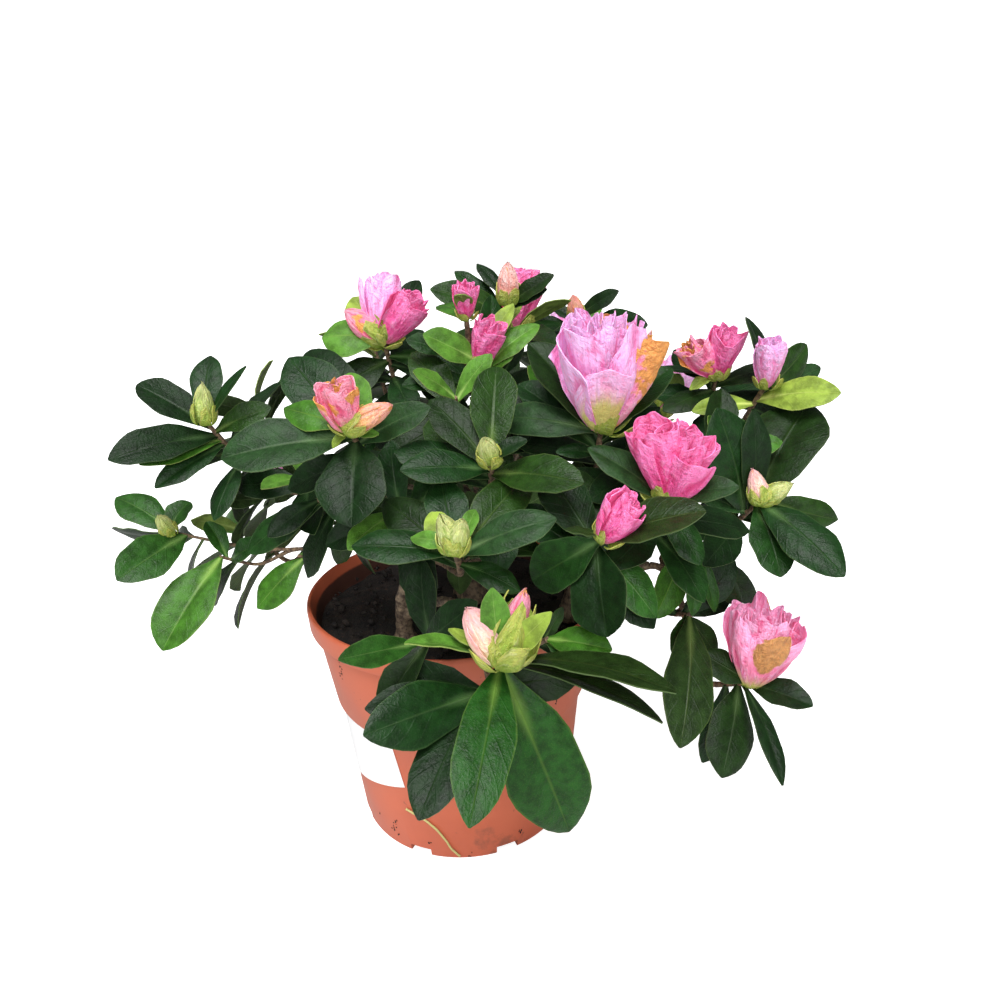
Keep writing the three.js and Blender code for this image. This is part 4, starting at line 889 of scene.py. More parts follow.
def lay_out():
    """All that grows, as routes and leaves"""
    growth = Growth()
    stems = {}
    for name, stem in STEMS.items():
        stems[name] = dict(stem, curve=stem_curve(stem))
        growth.add_route(stems[name]["curve"], STEM_STEPS, stem["thick"] / 2)
    masses = []
    for index, mass in enumerate(MASSES + back_masses()):
        seed = FIRST_SEED + SEED_STEP * index
        shoots = [make_shoot(row, mass["name"], seed + k) for k, row in enumerate(mass["shoots"])]
        start = stems[mass["stem"]]["curve"].point(mass["leave"])
        heart = sum(each["low"] for each in shoots) / len(shoots)
        hub = polar(*mass["hub"]) if "hub" in mass else mix(start, heart, HUB_SHARE)
        middle = mix(start, hub, 0.5) + vec(0, 0, mass["rise"])
        bough = Curve(start, middle, hub)
        growth.add_route(bough, BOUGH_STEPS, BOUGH_FOOT / 2)
        onward = bough.tangent(1)
        for k, each in enumerate(shoots):
            fork = FORK_FIRST + k * FORK_STEP
            foot = hub + onward * GAP if k == 0 else shoots[0]["twig"].point(fork)
            line = onward if k == 0 else shoots[0]["twig"].tangent(fork)
            each["twig"] = Twig(each["low"], each["tip"], each["axis"], foot, line)
            growth.add_route(each["twig"], TWIG_STEPS, TWIG_FOOT / 2)
            for head in each["heads"]:
                end = head["foot"] + head["direction"] * (head["length"] - head["core"] * HEAD_ROOM)
                growth.add_rod(head["foot"] + head["direction"] * HEAD_FREE, end, head["core"], each)
            growth.add_rod(each["low"], each["tip"], TWIG_TIP / 2, each, bare=True)
        masses.append(dict(mass, shoots=shoots, bough=bough))
    grow_leaves(masses, growth)
    twiglets = grow_twiglets(masses, growth)
    return stems, masses, twiglets, growth


def grow_leaves(masses, growth):
    """Leaves read off the photo come first on every shoot, then the spirals fill in"""
    shoots = [each for mass in masses for each in mass["shoots"]]
    front = [each for mass in masses[:len(MASSES)] for each in mass["shoots"]]
    heads = [head_in_photo(head) for each in front for head in each["heads"]]
    for each in shoots:
        for slot, row in enumerate(each["leaves"]):
            leaf = leaf_in_photo(each, slot, row, heads, growth)
            if leaf is None:
                continue
            growth.leaves.append(leaf)
            each["blades"].append(leaf)
            leaf.in_photo = True
            leaf.tint = row.get("tint", "dark")
    for each in shoots:
        draw = Draw(each["seed"])
        count, length, first_bearing = each["spiral"]
        for k in range(count):
            slot = len(each["leaves"]) + k
            share = slot / (each["count"] - 1)
            bearing = first_bearing + k * SPIRAL_TURN + draw.around(BEARING_SPREAD)
            opening = mix(FIRST_OPENING, LAST_OPENING, share ** OPENING_CURVE) + draw.around(OPENING_SPREAD)
            size = mix(YOUNGEST_SIZE, 1, min(1, share * 2)) * (1 + draw.around(LENGTH_SPREAD))
            leaf = growth.grow(each, leaf_foot(each, slot), bearing, opening, length * size)
            if leaf and slot < 2:
                leaf.tint = "bright" if each["seed"] % 2 else "green"


def grow_twiglets(masses, growth):
    """Short side twigs with small leaves along every twig, where they find room"""
    twiglets = []
    low, high = (np.array(corner) / MM for corner in cad_box)
    for mass in masses:
        for each in mass["shoots"]:
            draw = Draw(each["seed"] * 3)
            bearing = 360 * draw.next()
            for share in TWIGLET_SHARES:
                bearing += SPIRAL_TURN
                place = each["twig"].bent.point(share)
                onward = each["twig"].bent.tangent(share)
                if abs(onward[2]) > NEARLY_UPRIGHT:
                    continue
                axis = heading(onward, bearing, TWIGLET_OPENING + draw.around(TWIGLET_OPENING_SPREAD))
                if abs(axis[2]) > NEARLY_UPRIGHT:
                    continue
                tip = place + axis * mix(*TWIGLET_LENGTH, draw.next())
                if tip[2] < TWIGLET_LOWEST:
                    continue
                owner = dict(tip=tip, axis=axis, mass=each["mass"], seed=each["seed"], blades=[])
                for slot in range(TWIGLET_LEAVES):
                    opening = mix(*TWIGLET_LEAF_OPENING, slot / (TWIGLET_LEAVES - 1))
                    opening += draw.around(OPENING_SPREAD)
                    length = mix(*TWIGLET_LEAF, draw.next())
                    around = slot * SPIRAL_TURN + 360 * draw.next()
                    growth.grow(owner, leaf_foot(owner, slot), around, opening, length)
                inside = (tip > low).all() and (tip < high).all()
                if owner["blades"] and inside:
                    twiglets.append(dict(start=place, tip=tip))
    return twiglets


# Helpers that make meshes

def bmesh_arrays(bm):
    """Points and four-cornered faces of a bmesh, which is then freed"""
    bm.verts.index_update()
    points = np.array([vert.co for vert in bm.verts])
    faces = np.array([[vert.index for vert in face.verts] for face in bm.faces])
    bm.free()
    return points, faces


def sheet_template(rows, columns):
    """A thin closed sheet: shares along it from 0 to 1, and offsets across and through it from -1 to 1"""
    bm = bmesh.new()
    bmesh.ops.create_grid(bm, x_segments=rows, y_segments=columns, size=1)
    bmesh.ops.solidify(bm, geom=bm.faces[:], thickness=0.1)
    points, faces = bmesh_arrays(bm)
    low, high = points.min(axis=0), points.max(axis=0)
    share, across, through = ((points - low) / (high - low)).T
    upper = through[faces].mean(axis=1) > 0.9
    return dict(share=share, across=2 * across - 1, through=2 * through - 1, faces=faces, upper=upper)


def as_piece(name, mesh, materials):
    for material in materials:
        mesh.materials.append(material)
    piece = bpy.data.objects.new(name, mesh)
    bpy.context.collection.objects.link(piece)
    return piece


def joined_piece(name, parts, materials, sharp=40):
    """One mesh out of many small parts, each with points in millimetres, faces, a material number for each
    face and two values for each point in the layers named blade, grain and fold"""
    counts = [len(part["points"]) for part in parts]
    starts = np.cumsum([0] + counts[:-1])
    points = np.concatenate([part["points"] for part in parts]) * MM
    faces = np.concatenate([part["faces"] + start for part, start in zip(parts, starts)])
    slots = np.concatenate([part["slots"] for part in parts])
    mesh = bpy.data.meshes.new(name)
    mesh.vertices.add(len(points))
    mesh.vertices.foreach_set("co", points.ravel())
    mesh.loops.add(faces.size)
    mesh.loops.foreach_set("vertex_index", faces.ravel())
    mesh.polygons.add(len(faces))
    mesh.polygons.foreach_set("loop_start", np.arange(len(faces)) * faces.shape[1])
    mesh.polygons.foreach_set("use_smooth", np.ones(len(faces), bool))
    mesh.polygons.foreach_set("material_index", slots)
    for layer in ("blade", "grain", "fold"):
        values = np.concatenate([part[layer] for part in parts])
        uv = mesh.uv_layers.new(name=layer)
        uv.uv.foreach_set("vector", values[faces.ravel()].ravel())
    mesh.update(calc_edges=True)
    mesh.set_sharp_from_angle(angle=math.radians(sharp))
    return as_piece(name, mesh, materials)


def bmesh_piece(name, bm, materials, sharp=35):
    """A bmesh modelled in millimetres becomes a piece"""
    bmesh.ops.scale(bm, vec=(MM, MM, MM), verts=bm.verts[:])
    mesh = bpy.data.meshes.new(name)
    bm.to_mesh(mesh)
    bm.free()
    mesh.polygons.foreach_set("use_smooth", np.ones(len(mesh.polygons), bool))
    mesh.set_sharp_from_angle(angle=math.radians(sharp))
    return as_piece(name, mesh, materials)


def final_mesh(piece):
    """A new mesh with the shape that a curve's bevel or a piece's modifiers give"""
    bpy.context.view_layer.update()
    depsgraph = bpy.context.evaluated_depsgraph_get()
    return bpy.data.meshes.new_from_object(piece.evaluated_get(depsgraph))


def tubes(name, routes, sides=2):
    """A mesh of round rods, each a list of points with the radius at each point, in millimetres"""
    curve = bpy.data.curves.new(name, "CURVE")
    curve.dimensions = "3D"
    curve.bevel_depth = MM
    curve.bevel_resolution = sides
    curve.use_fill_caps = True
    for route in routes:
        spline = curve.splines.new("POLY")
        spline.points.add(len(route["points"]) - 1)
        spline.material_index = route.get("slot", 0)
        spline.use_smooth = True
        for spot, place, radius in zip(spline.points, route["points"], route["radii"]):
            spot.co = (*(place * MM), 1)
            spot.radius = radius
    holder = bpy.data.objects.new(name, curve)
    bpy.context.collection.objects.link(holder)
    mesh = final_mesh(holder)
    bpy.data.objects.remove(holder)
    bpy.data.curves.remove(curve)
    return mesh


def mesh_piece(name, mesh, materials):
    mesh.name = name
    mesh.materials.clear()
    return as_piece(name, mesh, materials)


def apply_modifiers(piece):
    """The piece keeps the shape that its modifiers give"""
    mesh = final_mesh(piece)
    old = piece.data
    piece.modifiers.clear()
    piece.data = mesh
    bpy.data.meshes.remove(old)
    return piece


# Helpers that make materials

def fill(tree, node, inputs):
    """A node's inputs, linked to sockets or set to plain values"""
    for key, value in inputs.items():
        if isinstance(value, bpy.types.NodeSocket):
            tree.links.new(value, node.inputs[key])
        else:
            node.inputs[key].default_value = value


def add(tree, kind, inputs=None, **settings):
    """A node with its settings, its inputs given as values or as sockets to link"""
    node = tree.nodes.new(kind)
    for key, value in settings.items():
        setattr(node, key, value)
    fill(tree, node, inputs or {})
    return node


def math_node(tree, operation, *values, clamp=False):
    inputs = dict(enumerate(values))
    return add(tree, "ShaderNodeMath", inputs, operation=operation, use_clamp=clamp).outputs[0]


def times(tree, first, second):
    return math_node(tree, "MULTIPLY", first, second)


def times_plus(tree, first, second, third):
    return math_node(tree, "MULTIPLY_ADD", first, second, third)


def ramp_share(tree, value, low, high, low_out=0.0, high_out=1.0):
    """The value smoothly brought from one range to another"""
    inputs = {"Value": value, "From Min": low, "From Max": high, "To Min": low_out, "To Max": high_out}
    return add(tree, "ShaderNodeMapRange", inputs, interpolation_type="SMOOTHSTEP").outputs["Result"]


def blend(tree, factor, first, second):
    """Two colours mixed by a factor"""
    inputs = {0: factor, 6: first, 7: second}
    return add(tree, "ShaderNodeMix", inputs, data_type="RGBA").outputs[2]


def noise(tree, vector, scale, detail, roughness):
    inputs = {"Vector": vector, "Scale": scale, "Detail": detail, "Roughness": roughness}
    return add(tree, "ShaderNodeTexNoise", inputs).outputs["Fac"]


def shared_group(name, inputs, outputs):
    """An empty node group with its named inputs and outputs"""
    tree = bpy.data.node_groups.new(name, "ShaderNodeTree")
    for label, kind in inputs.items():
        tree.interface.new_socket(name=label, in_out="INPUT", socket_type=kind)
    for label, kind in outputs.items():
        tree.interface.new_socket(name=label, in_out="OUTPUT", socket_type=kind)
    return tree, add(tree, "NodeGroupInput").outputs, add(tree, "NodeGroupOutput")


def new_material(name):
    material = bpy.data.materials.new(name)
    material.use_nodes = True
    tree = material.node_tree
    return material, tree, tree.nodes["Principled BSDF"]


def colour(red, green, blue):
    return (red, green, blue, 1.0)


VALUE, VECTOR, COLOUR = "NodeSocketFloat", "NodeSocketVector", "NodeSocketColor"


def make_leaf_surface():
    """Midrib, side veins, pale rim, speckle and relief of a leaf's upper side"""
    inputs = {"Blade": VECTOR, "Grain": VECTOR, "Veins": VALUE}
    outputs = {"Rib": VALUE, "Rim": VALUE, "Stalk": VALUE, "Speckle": VALUE, "Mottle": VALUE, "Height": VALUE}
    tree, given, result = shared_group("leaf surface", inputs, outputs)
    blade = add(tree, "ShaderNodeSeparateXYZ", {0: given["Blade"]}).outputs
    share = blade["X"]
    across = math_node(tree, "ABSOLUTE", times_plus(tree, blade["Y"], 2.0, -1.0))
    rib_width = times_plus(tree, share, -0.05, 0.085)
    rib = math_node(tree, "SUBTRACT", 1.0, math_node(tree, "DIVIDE", across, rib_width), clamp=True)
    sweep = times_plus(tree, share, 7.0, times(tree, across, -1.7))
    wave = math_node(tree, "SINE", times(tree, sweep, 2 * math.pi))
    side_veins = times(tree, ramp_share(tree, wave, 0.86, 1.0), given["Veins"])
    rim = ramp_share(tree, across, 0.92, 1.0)
    narrow = times_plus(tree, across, 0.6, share)
    stalk = ramp_share(tree, narrow, 0.52, 0.1)
    speckle = ramp_share(tree, noise(tree, given["Grain"], 26.0, 2.0, 0.7), 0.56, 0.68)
    mottle = noise(tree, given["Grain"], 2.2, 4.0, 0.6)
    pitting = noise(tree, given["Grain"], 14.0, 2.0, 0.6)
    relief = times_plus(tree, rib, -1.2, times(tree, pitting, 0.9))
    quilt = noise(tree, given["Grain"], 6.0, 2.0, 0.5)
    relief = times_plus(tree, quilt, 0.9, relief)
    relief = times_plus(tree, side_veins, -0.35, relief)
    fill(tree, result, dict(Rib=rib, Rim=rim, Stalk=stalk, Speckle=speckle, Mottle=mottle, Height=relief))
    return tree


# Where the one large browned patch lies on a petal, as shares along and across it, and its darkest brown
PATCH_CENTRE = (0.76, 0.6, 0.0)
DARK_BROWN = (0.16, 0.06, 0.02)


def make_petal_surface():
    """A petal's colour from foot to edge: streaks, browned places, painted shade in folds and creases,
    painted highlights on ridges
    """
    inputs = dict.fromkeys(("Blade", "Grain", "Fold"), VECTOR)
    inputs.update(dict.fromkeys(("Foot", "Middle", "Edge", "Painted Shade", "Brown"), COLOUR))
    inputs.update(dict.fromkeys(("Foot End", "Browning", "Patch"), VALUE))
    tree, given, result = shared_group("petal surface", inputs, {"Color": COLOUR, "Height": VALUE})
    blade = add(tree, "ShaderNodeSeparateXYZ", {0: given["Blade"]}).outputs
    mapping = {"Vector": given["Grain"], "Scale": (0.35, 2.6, 1.0)}
    stretched = add(tree, "ShaderNodeMapping", mapping).outputs[0]
    streak = noise(tree, stretched, 2.4, 3.0, 0.6)
    cloud = noise(tree, given["Grain"], 1.1, 3.0, 0.6)
    wobble = times_plus(tree, streak, 0.22, math_node(tree, "SUBTRACT", blade["X"], 0.11))
    foot_end = math_node(tree, "ADD", given["Foot End"], 0.3)
    to_middle = add(tree, "ShaderNodeMapRange", {0: wobble, 1: given["Foot End"], 2: foot_end}).outputs[0]
    body = blend(tree, to_middle, given["Foot"], given["Middle"])
    body = blend(tree, ramp_share(tree, wobble, 0.45, 1.0), body, given["Edge"])
    fold = add(tree, "ShaderNodeSeparateXYZ", {0: given["Fold"]}).outputs["X"]
    # Painted shade and highlight: the folds' hollows darken toward the painted shade colour and their ridges
    # lighten toward the edge colour
    hollow = times_plus(tree, streak, -0.9, math_node(tree, "SUBTRACT", 1.4, fold))
    fold_shade = times(tree, ramp_share(tree, hollow, 0.46, 0.86, 0.0, 0.7), to_middle)
    ridge_highlight = times(tree, ramp_share(tree, hollow, 0.38, 0.12, 0.0, 0.7), to_middle)
    body = blend(tree, ridge_highlight, blend(tree, fold_shade, body, given["Painted Shade"]), given["Edge"])
    # Painted shade and highlight: crumple noise darkens the creases and lays pale highlight patches; it also
    # gives the creases' relief
    crumple = noise(tree, given["Grain"], 3.6, 4.0, 0.65)
    crease_shade = times(tree, ramp_share(tree, crumple, 0.5, 0.3, 0.0, 0.6), to_middle)
    crumple_highlight = times(tree, ramp_share(tree, crumple, 0.52, 0.68, 0.0, 0.5), to_middle)
    pale = blend(tree, 0.18, given["Edge"], colour(1.0, 1.0, 1.0))
    shaded_and_lit = blend(tree, crumple_highlight, blend(tree, crease_shade, body, given["Painted Shade"]), pale)
    edge_lift = times_plus(tree, blade["X"], 0.18, cloud)
    limit = math_node(tree, "SUBTRACT", 0.95, times(tree, given["Browning"], 0.4))
    upper_limit = math_node(tree, "ADD", limit, 0.05)
    browned = add(tree, "ShaderNodeMapRange", {0: edge_lift, 1: limit, 2: upper_limit}).outputs[0]
    ends = {0: given["Blade"], 1: PATCH_CENTRE}
    off_centre = add(tree, "ShaderNodeVectorMath", ends, operation="DISTANCE").outputs["Value"]
    reach = times_plus(tree, cloud, -0.5, math_node(tree, "ADD", off_centre, 0.25))
    patch = times(tree, ramp_share(tree, reach, 0.34, 0.28), given["Patch"])
    spoiled = math_node(tree, "MAXIMUM", browned, patch)
    marbling = ramp_share(tree, noise(tree, given["Grain"], 5.0, 3.0, 0.6), 0.35, 0.65, 0.0, 0.4)
    marbled = blend(tree, marbling, given["Brown"], colour(*DARK_BROWN))
    full = blend(tree, spoiled, shaded_and_lit, marbled)
    crepe = noise(tree, stretched, 2.6, 3.0, 0.65)
    crease = times_plus(tree, streak, 0.4, crumple)
    crease = times_plus(tree, crepe, 0.5, crease)
    fill(tree, result, dict(Color=full, Height=crease))
    return tree


def make_soiling():
    """Patches and specks of dried soil, more of them near the given height"""
    inputs = {"Place": VECTOR, "Low": VALUE, "High": VALUE, "Amount": VALUE}
    tree, given, result = shared_group("soiling", inputs, {"Mask": VALUE, "Specks": VALUE})
    height = add(tree, "ShaderNodeSeparateXYZ", {0: given["Place"]}).outputs["Z"]
    near = add(tree, "ShaderNodeMapRange", {0: height, 1: given["High"], 2: given["Low"]}).outputs[0]
    patch = noise(tree, given["Place"], 60.0, 5.0, 0.7)
    limit = math_node(tree, "SUBTRACT", 0.92, times(tree, near, given["Amount"]))
    high = math_node(tree, "ADD", limit, 0.12)
    mask = add(tree, "ShaderNodeMapRange", {0: patch, 1: limit, 2: high}).outputs[0]
    specks = ramp_share(tree, noise(tree, given["Place"], 420.0, 2.0, 0.6), 0.7, 0.76)
    fill(tree, result, dict(Mask=mask, Specks=specks))
    return tree


LEAF_SURFACE = make_leaf_surface()
PETAL_SURFACE = make_petal_surface()
SOILING = make_soiling()


def uv_layer(tree, layer):
    return add(tree, "ShaderNodeUVMap", uv_map=layer).outputs["UV"]


def object_place(tree):
    return add(tree, "ShaderNodeTexCoord").outputs["Object"]


def add_relief(tree, shader, height, strength, distance):
    """Relief on a surface, its distance in metres"""
    inputs = {"Height": height, "Strength": strength, "Distance": distance}
    tree.links.new(add(tree, "ShaderNodeBump", inputs).outputs[0], shader.inputs["Normal"])


def tinted(tone, share):
    """A colour made darker or lighter by a share"""
    return colour(*(part * share for part in tone[:3]))


def leaf_material(name, base, rib, rough, rib_strength):
    """A leaf's upper side: glossy green with a paler midrib, a fine pale rim and tiny pale hairs"""
    material, tree, shader = new_material(name)
    inputs = {"Blade": uv_layer(tree, "blade"), "Grain": uv_layer(tree, "grain"), "Veins": 1.0}
    surface = add(tree, "ShaderNodeGroup", inputs, node_tree=LEAF_SURFACE).outputs
    mottle = surface["Mottle"]
    body = blend(tree, ramp_share(tree, mottle, 0.3, 0.7), tinted(base, 0.6), tinted(base, 1.3))
    young = tinted(rib, 1.6)
    marks = (("Rib", rib_strength, rib), ("Rim", 0.4, rib), ("Speckle", 0.22, rib), ("Stalk", 0.8, young))
    for mark, strength, tone in marks:
        body = blend(tree, times(tree, surface[mark], strength), body, tone)
    roughness = times_plus(tree, mottle, 0.2, rough - 0.14)
    fill(tree, shader, {"Base Color": body, "Roughness": roughness, "Specular IOR Level": 0.17})
    add_relief(tree, shader, surface["Height"], 0.35, 0.0006)
    return material


# Painted light: petals glow in their own colour by emission, standing in for light that passes through the
# thin petals
PETAL_PAINTED_GLOW = 0.16


def petal_material(name, foot, middle, edge, deep, brown, browning, foot_end, patch):
    """A petal, silky and creased, with painted shade in its folds and creases, painted highlights on its
    ridges and a painted glow
    """
    material, tree, shader = new_material(name)
    inputs = {label: uv_layer(tree, label.lower()) for label in ("Blade", "Grain", "Fold")}
    inputs.update({"Foot": foot, "Middle": middle, "Edge": edge, "Painted Shade": deep, "Brown": brown})
    inputs.update({"Foot End": foot_end, "Browning": browning, "Patch": patch})
    surface = add(tree, "ShaderNodeGroup", inputs, node_tree=PETAL_SURFACE).outputs
    # Painted glow: the petal's colour is also emitted
    glow = {"Emission Color": surface["Color"], "Emission Strength": PETAL_PAINTED_GLOW}
    fill(tree, shader, {"Base Color": surface["Color"], "Roughness": 0.55, **glow})
    under = dict(Weight=0.2, Radius=(1.0, 0.5, 0.5), Scale=0.0012)
    fill(tree, shader, {f"Subsurface {name}": value for name, value in under.items()})
    add_relief(tree, shader, surface["Height"], 0.9, 0.0026)
    return material


def bark_material(name, dark, light, scale, bump=0.5):
    """Twig and stem bark, flecked with lighter places"""
    material, tree, shader = new_material(name)
    place = object_place(tree)
    flecks = noise(tree, place, scale, 4.0, 0.65)
    shade = blend(tree, ramp_share(tree, flecks, 0.35, 0.65), dark, light)
    fill(tree, shader, {"Base Color": shade, "Roughness": 0.75})
    add_relief(tree, shader, noise(tree, place, scale * 2.5, 3.0, 0.6), bump, 0.0005)
    return material


# Colours of the pot's plastic, the soil dried on it, the painted shade inside under its lip, and the peat
TERRACOTTA = ((0.44, 0.09, 0.038), (0.52, 0.118, 0.054))
DRIED_SOIL = (0.16, 0.06, 0.035)
SOIL_SPECKS = (0.12, 0.05, 0.03)
LIP_SHADOW = (0.02, 0.012, 0.009)
PEAT = ((0.004, 0.003, 0.003), (0.022, 0.014, 0.01))
PEAT_BITS = (0.08, 0.04, 0.02)


def pot_material():
    """Terracotta-coloured plastic, matte, with soil dried on the foot and painted shade inside under the lip
    """
    material, tree, shader = new_material("terracotta plastic")
    place = object_place(tree)
    inputs = {"Place": place, "Low": 0.0, "High": 0.045, "Amount": 0.42}
    soil = add(tree, "ShaderNodeGroup", inputs, node_tree=SOILING).outputs
    cloud = noise(tree, place, 22.0, 4.0, 0.6)
    plastic = blend(tree, ramp_share(tree, cloud, 0.3, 0.7), *(colour(*tone) for tone in TERRACOTTA))
    stained = blend(tree, times(tree, soil["Mask"], 0.6), plastic, colour(*DRIED_SOIL))
    specked = blend(tree, times(tree, soil["Specks"], 0.5), stained, colour(*SOIL_SPECKS))
    # Painted shade: the inner wall is darkened from above the collar's foot to just under the lip, for the
    # shadow inside the pot
    parts = add(tree, "ShaderNodeSeparateXYZ", {0: place}).outputs
    flat = add(tree, "ShaderNodeCombineXYZ", {0: parts["X"], 1: parts["Y"]}).outputs[0]
    radius = add(tree, "ShaderNodeVectorMath", {0: flat}, operation="LENGTH").outputs["Value"]
    slope = (RIM_RADIUS - LIP_WIDTH - COLLAR_RADIUS) / COLLAR_HEIGHT
    middle = (COLLAR_RADIUS - WALL / 2 - slope * COLLAR_FOOT) * MM
    wall = times_plus(tree, parts["Z"], slope, middle)
    inside = ramp_share(tree, math_node(tree, "SUBTRACT", wall, radius), 0.0, 0.0002)
    over_ledge = ramp_share(tree, parts["Z"], COLLAR_FOOT * MM, (COLLAR_FOOT + 9) * MM)
    inside = times(tree, inside, over_ledge)
    ragged = times_plus(tree, cloud, -0.012, parts["Z"])
    painted_lip_shade = ramp_share(tree, ragged, POT_HEIGHT * MM - 0.008, POT_HEIGHT * MM - 0.011, 0.0, 0.92)
    inner = blend(tree, times(tree, inside, painted_lip_shade), specked, colour(*LIP_SHADOW))
    fill(tree, shader, {"Base Color": inner, "Roughness": ramp_share(tree, cloud, 0.3, 0.7, 0.48, 0.62)})
    add_relief(tree, shader, noise(tree, place, 900.0, 2.0, 0.5), 0.12, 0.0002)
    return material


def compost_material():
    """Black damp peat with brown bits of bark and root"""
    material, tree, shader = new_material("damp peat")
    place = object_place(tree)
    clod = noise(tree, place, 180.0, 5.0, 0.7)
    bits = ramp_share(tree, noise(tree, place, 520.0, 3.0, 0.6), 0.62, 0.7)
    peat = blend(tree, ramp_share(tree, clod, 0.35, 0.7), *(colour(*tone) for tone in PEAT))
    flecked = blend(tree, times(tree, bits, 0.5), peat, colour(*PEAT_BITS))
    fill(tree, shader, {"Base Color": flecked, "Roughness": 0.85})
    add_relief(tree, shader, clod, 0.8, 0.002)
    return material


def plain_material(name, base, rough):
    material, tree, shader = new_material(name)
    fill(tree, shader, {"Base Color": base, "Roughness": rough})
    return material


# Leaves

FINE_LEAF = sheet_template(12, 8)
PLAIN_LEAF = sheet_template(7, 4)
LEAF_HALF_THICKNESS = 0.18
PETIOLE_HALF_WIDTH = 0.65
LEAF_TIP_HALF_WIDTH = 0.3
LEAF_POINT = 0.14


def leaf_part(leaf, template, slot, under_slot):
    """One leaf: a folded, slightly wavy blade that narrows to its stalk"""
    share = template["share"]
    share = 1 - (1 - share) ** 1.35
    across = np.sign(template["across"]) * np.abs(template["across"]) ** 1.15
    wave, ripple = rng.uniform(-1, 1), rng.uniform(-1, 1)
    fold, curl = rng.uniform(0.04, 0.3), rng.uniform(0.0, 0.22)
    phase = rng.uniform(0, 2 * math.pi, 3)
    floor_half = mix(PETIOLE_HALF_WIDTH, LEAF_TIP_HALF_WIDTH, share)
    half = np.maximum(leaf.half(share) * (1 - share) ** LEAF_POINT * 1.04, floor_half)
    uneven = 1 + 0.05 * np.sin(2 * math.pi * share * 2.3 + phase[0] + across)
    half = np.where(half > floor_half, half * uneven, half)
    side = across * half
    blade = np.clip(leaf.half(share) / (leaf.width / 2), 0, 1)
    lift = leaf.width / 2 * blade * (fold * np.abs(across) - curl * np.abs(across) ** 3)
    lift += 0.35 * wave * blade * np.sin(2 * math.pi * share * 1.2 + phase[1]) * across
    lift += 0.3 * ripple * blade * np.sin(2 * math.pi * share * 3.1 + phase[2]) * across ** 2
    lift -= 0.25 * blade * np.exp(-(side / 0.9) ** 2)
    thickness = LEAF_HALF_THICKNESS * np.where(share < 0.12, mix(2.4, 1, np.clip(share / 0.12, 0, 1)), 1)
    sideways = 0.5 * wave * np.sin(math.pi * share)
    points = leaf.at(share, side + sideways, lift + template["through"] * thickness)
    offset = rng.uniform(0, 40, 2)
    return dict(
        points=points,
        faces=template["faces"],
        slots=np.where(template["upper"], slot, under_slot),
        blade=np.stack([share, across / 2 + 0.5], axis=1),
        grain=np.stack([share * leaf.length, side], axis=1) / 10 + offset,
        fold=np.full((len(share), 2), (0.5, rng.uniform())),
    )


# Leaf greens: base and rib colour, roughness and how far the rib shows
LEAF_GREENS = {
    "dark": ((0.008, 0.036, 0.005), (0.06, 0.12, 0.035), 0.4, 0.3),
    "deep": ((0.006, 0.029, 0.005), (0.05, 0.1, 0.03), 0.42, 0.3),
    # Painted shade: shade and moss shade are darker copies of the greens that stand for the shade inside the
    # crown
    "shade": ((0.004, 0.018, 0.003), (0.03, 0.06, 0.02), 0.46, 0.3),
    "moss shade": ((0.007, 0.023, 0.003), (0.04, 0.07, 0.02), 0.46, 0.3),
    "moss": ((0.013, 0.04, 0.005), (0.08, 0.13, 0.03), 0.4, 0.3),
    "olive": ((0.012, 0.03, 0.005), (0.08, 0.12, 0.03), 0.42, 0.35),
    "grey": ((0.014, 0.044, 0.011), (0.09, 0.15, 0.06), 0.48, 0.3),
    "broad": ((0.01, 0.056, 0.006), (0.1, 0.18, 0.03), 0.42, 0.3),
    "middle": ((0.018, 0.07, 0.009), (0.11, 0.2, 0.05), 0.42, 0.35),
    "bright": ((0.038, 0.125, 0.011), (0.17, 0.28, 0.06), 0.42, 0.4),
    "green": ((0.078, 0.2, 0.023), (0.25, 0.38, 0.1), 0.45, 0.4),
    "lime": ((0.23, 0.33, 0.045), (0.45, 0.52, 0.14), 0.5, 0.4),
    "underside": ((0.04, 0.078, 0.02), (0.12, 0.17, 0.07), 0.6, 0.5),
    "pale underside": ((0.18, 0.265, 0.055), (0.32, 0.4, 0.12), 0.6, 0.5),
}
# Plain leaves take these greens at random; shade and moss shade among them are painted shade
PLAIN_GREENS = ("shade", "shade", "moss shade", "deep", "dark", "moss")
PALE_GREENS = ("green", "lime", "bright")


def make_leaves(growth, nodes):
    names = list(LEAF_GREENS)
    materials = []
    for name, (base, rib, rough, rib_strength) in LEAF_GREENS.items():
        materials.append(leaf_material(f"{name} leaf", colour(*base), colour(*rib), rough, rib_strength))
    parts = []
    for leaf in growth.leaves:
        template = FINE_LEAF if leaf.in_photo else PLAIN_LEAF
        tint = PLAIN_GREENS[rng.integers(len(PLAIN_GREENS))] if leaf.tint == "dark" else leaf.tint
        under = "pale underside" if tint in PALE_GREENS else "underside"
        parts.append(leaf_part(leaf, template, names.index(tint), names.index(under)))
    leaves = joined_piece("leaves", parts, materials)
    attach(leaves, "root")
    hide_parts(*nodes)


# Blossom

PETAL = sheet_template(9, 8)
BROAD_PETAL = sheet_template(11, 15)
HERO_PETAL = sheet_template(18, 26)
SCALE = sheet_template(6, 4)
PETAL_HALF_THICKNESS = 0.16

# Browning at a petal's edge, and in one large patch
TAN = (0.82, 0.36, 0.09)
BROWNED = (0.56, 0.26, 0.085)
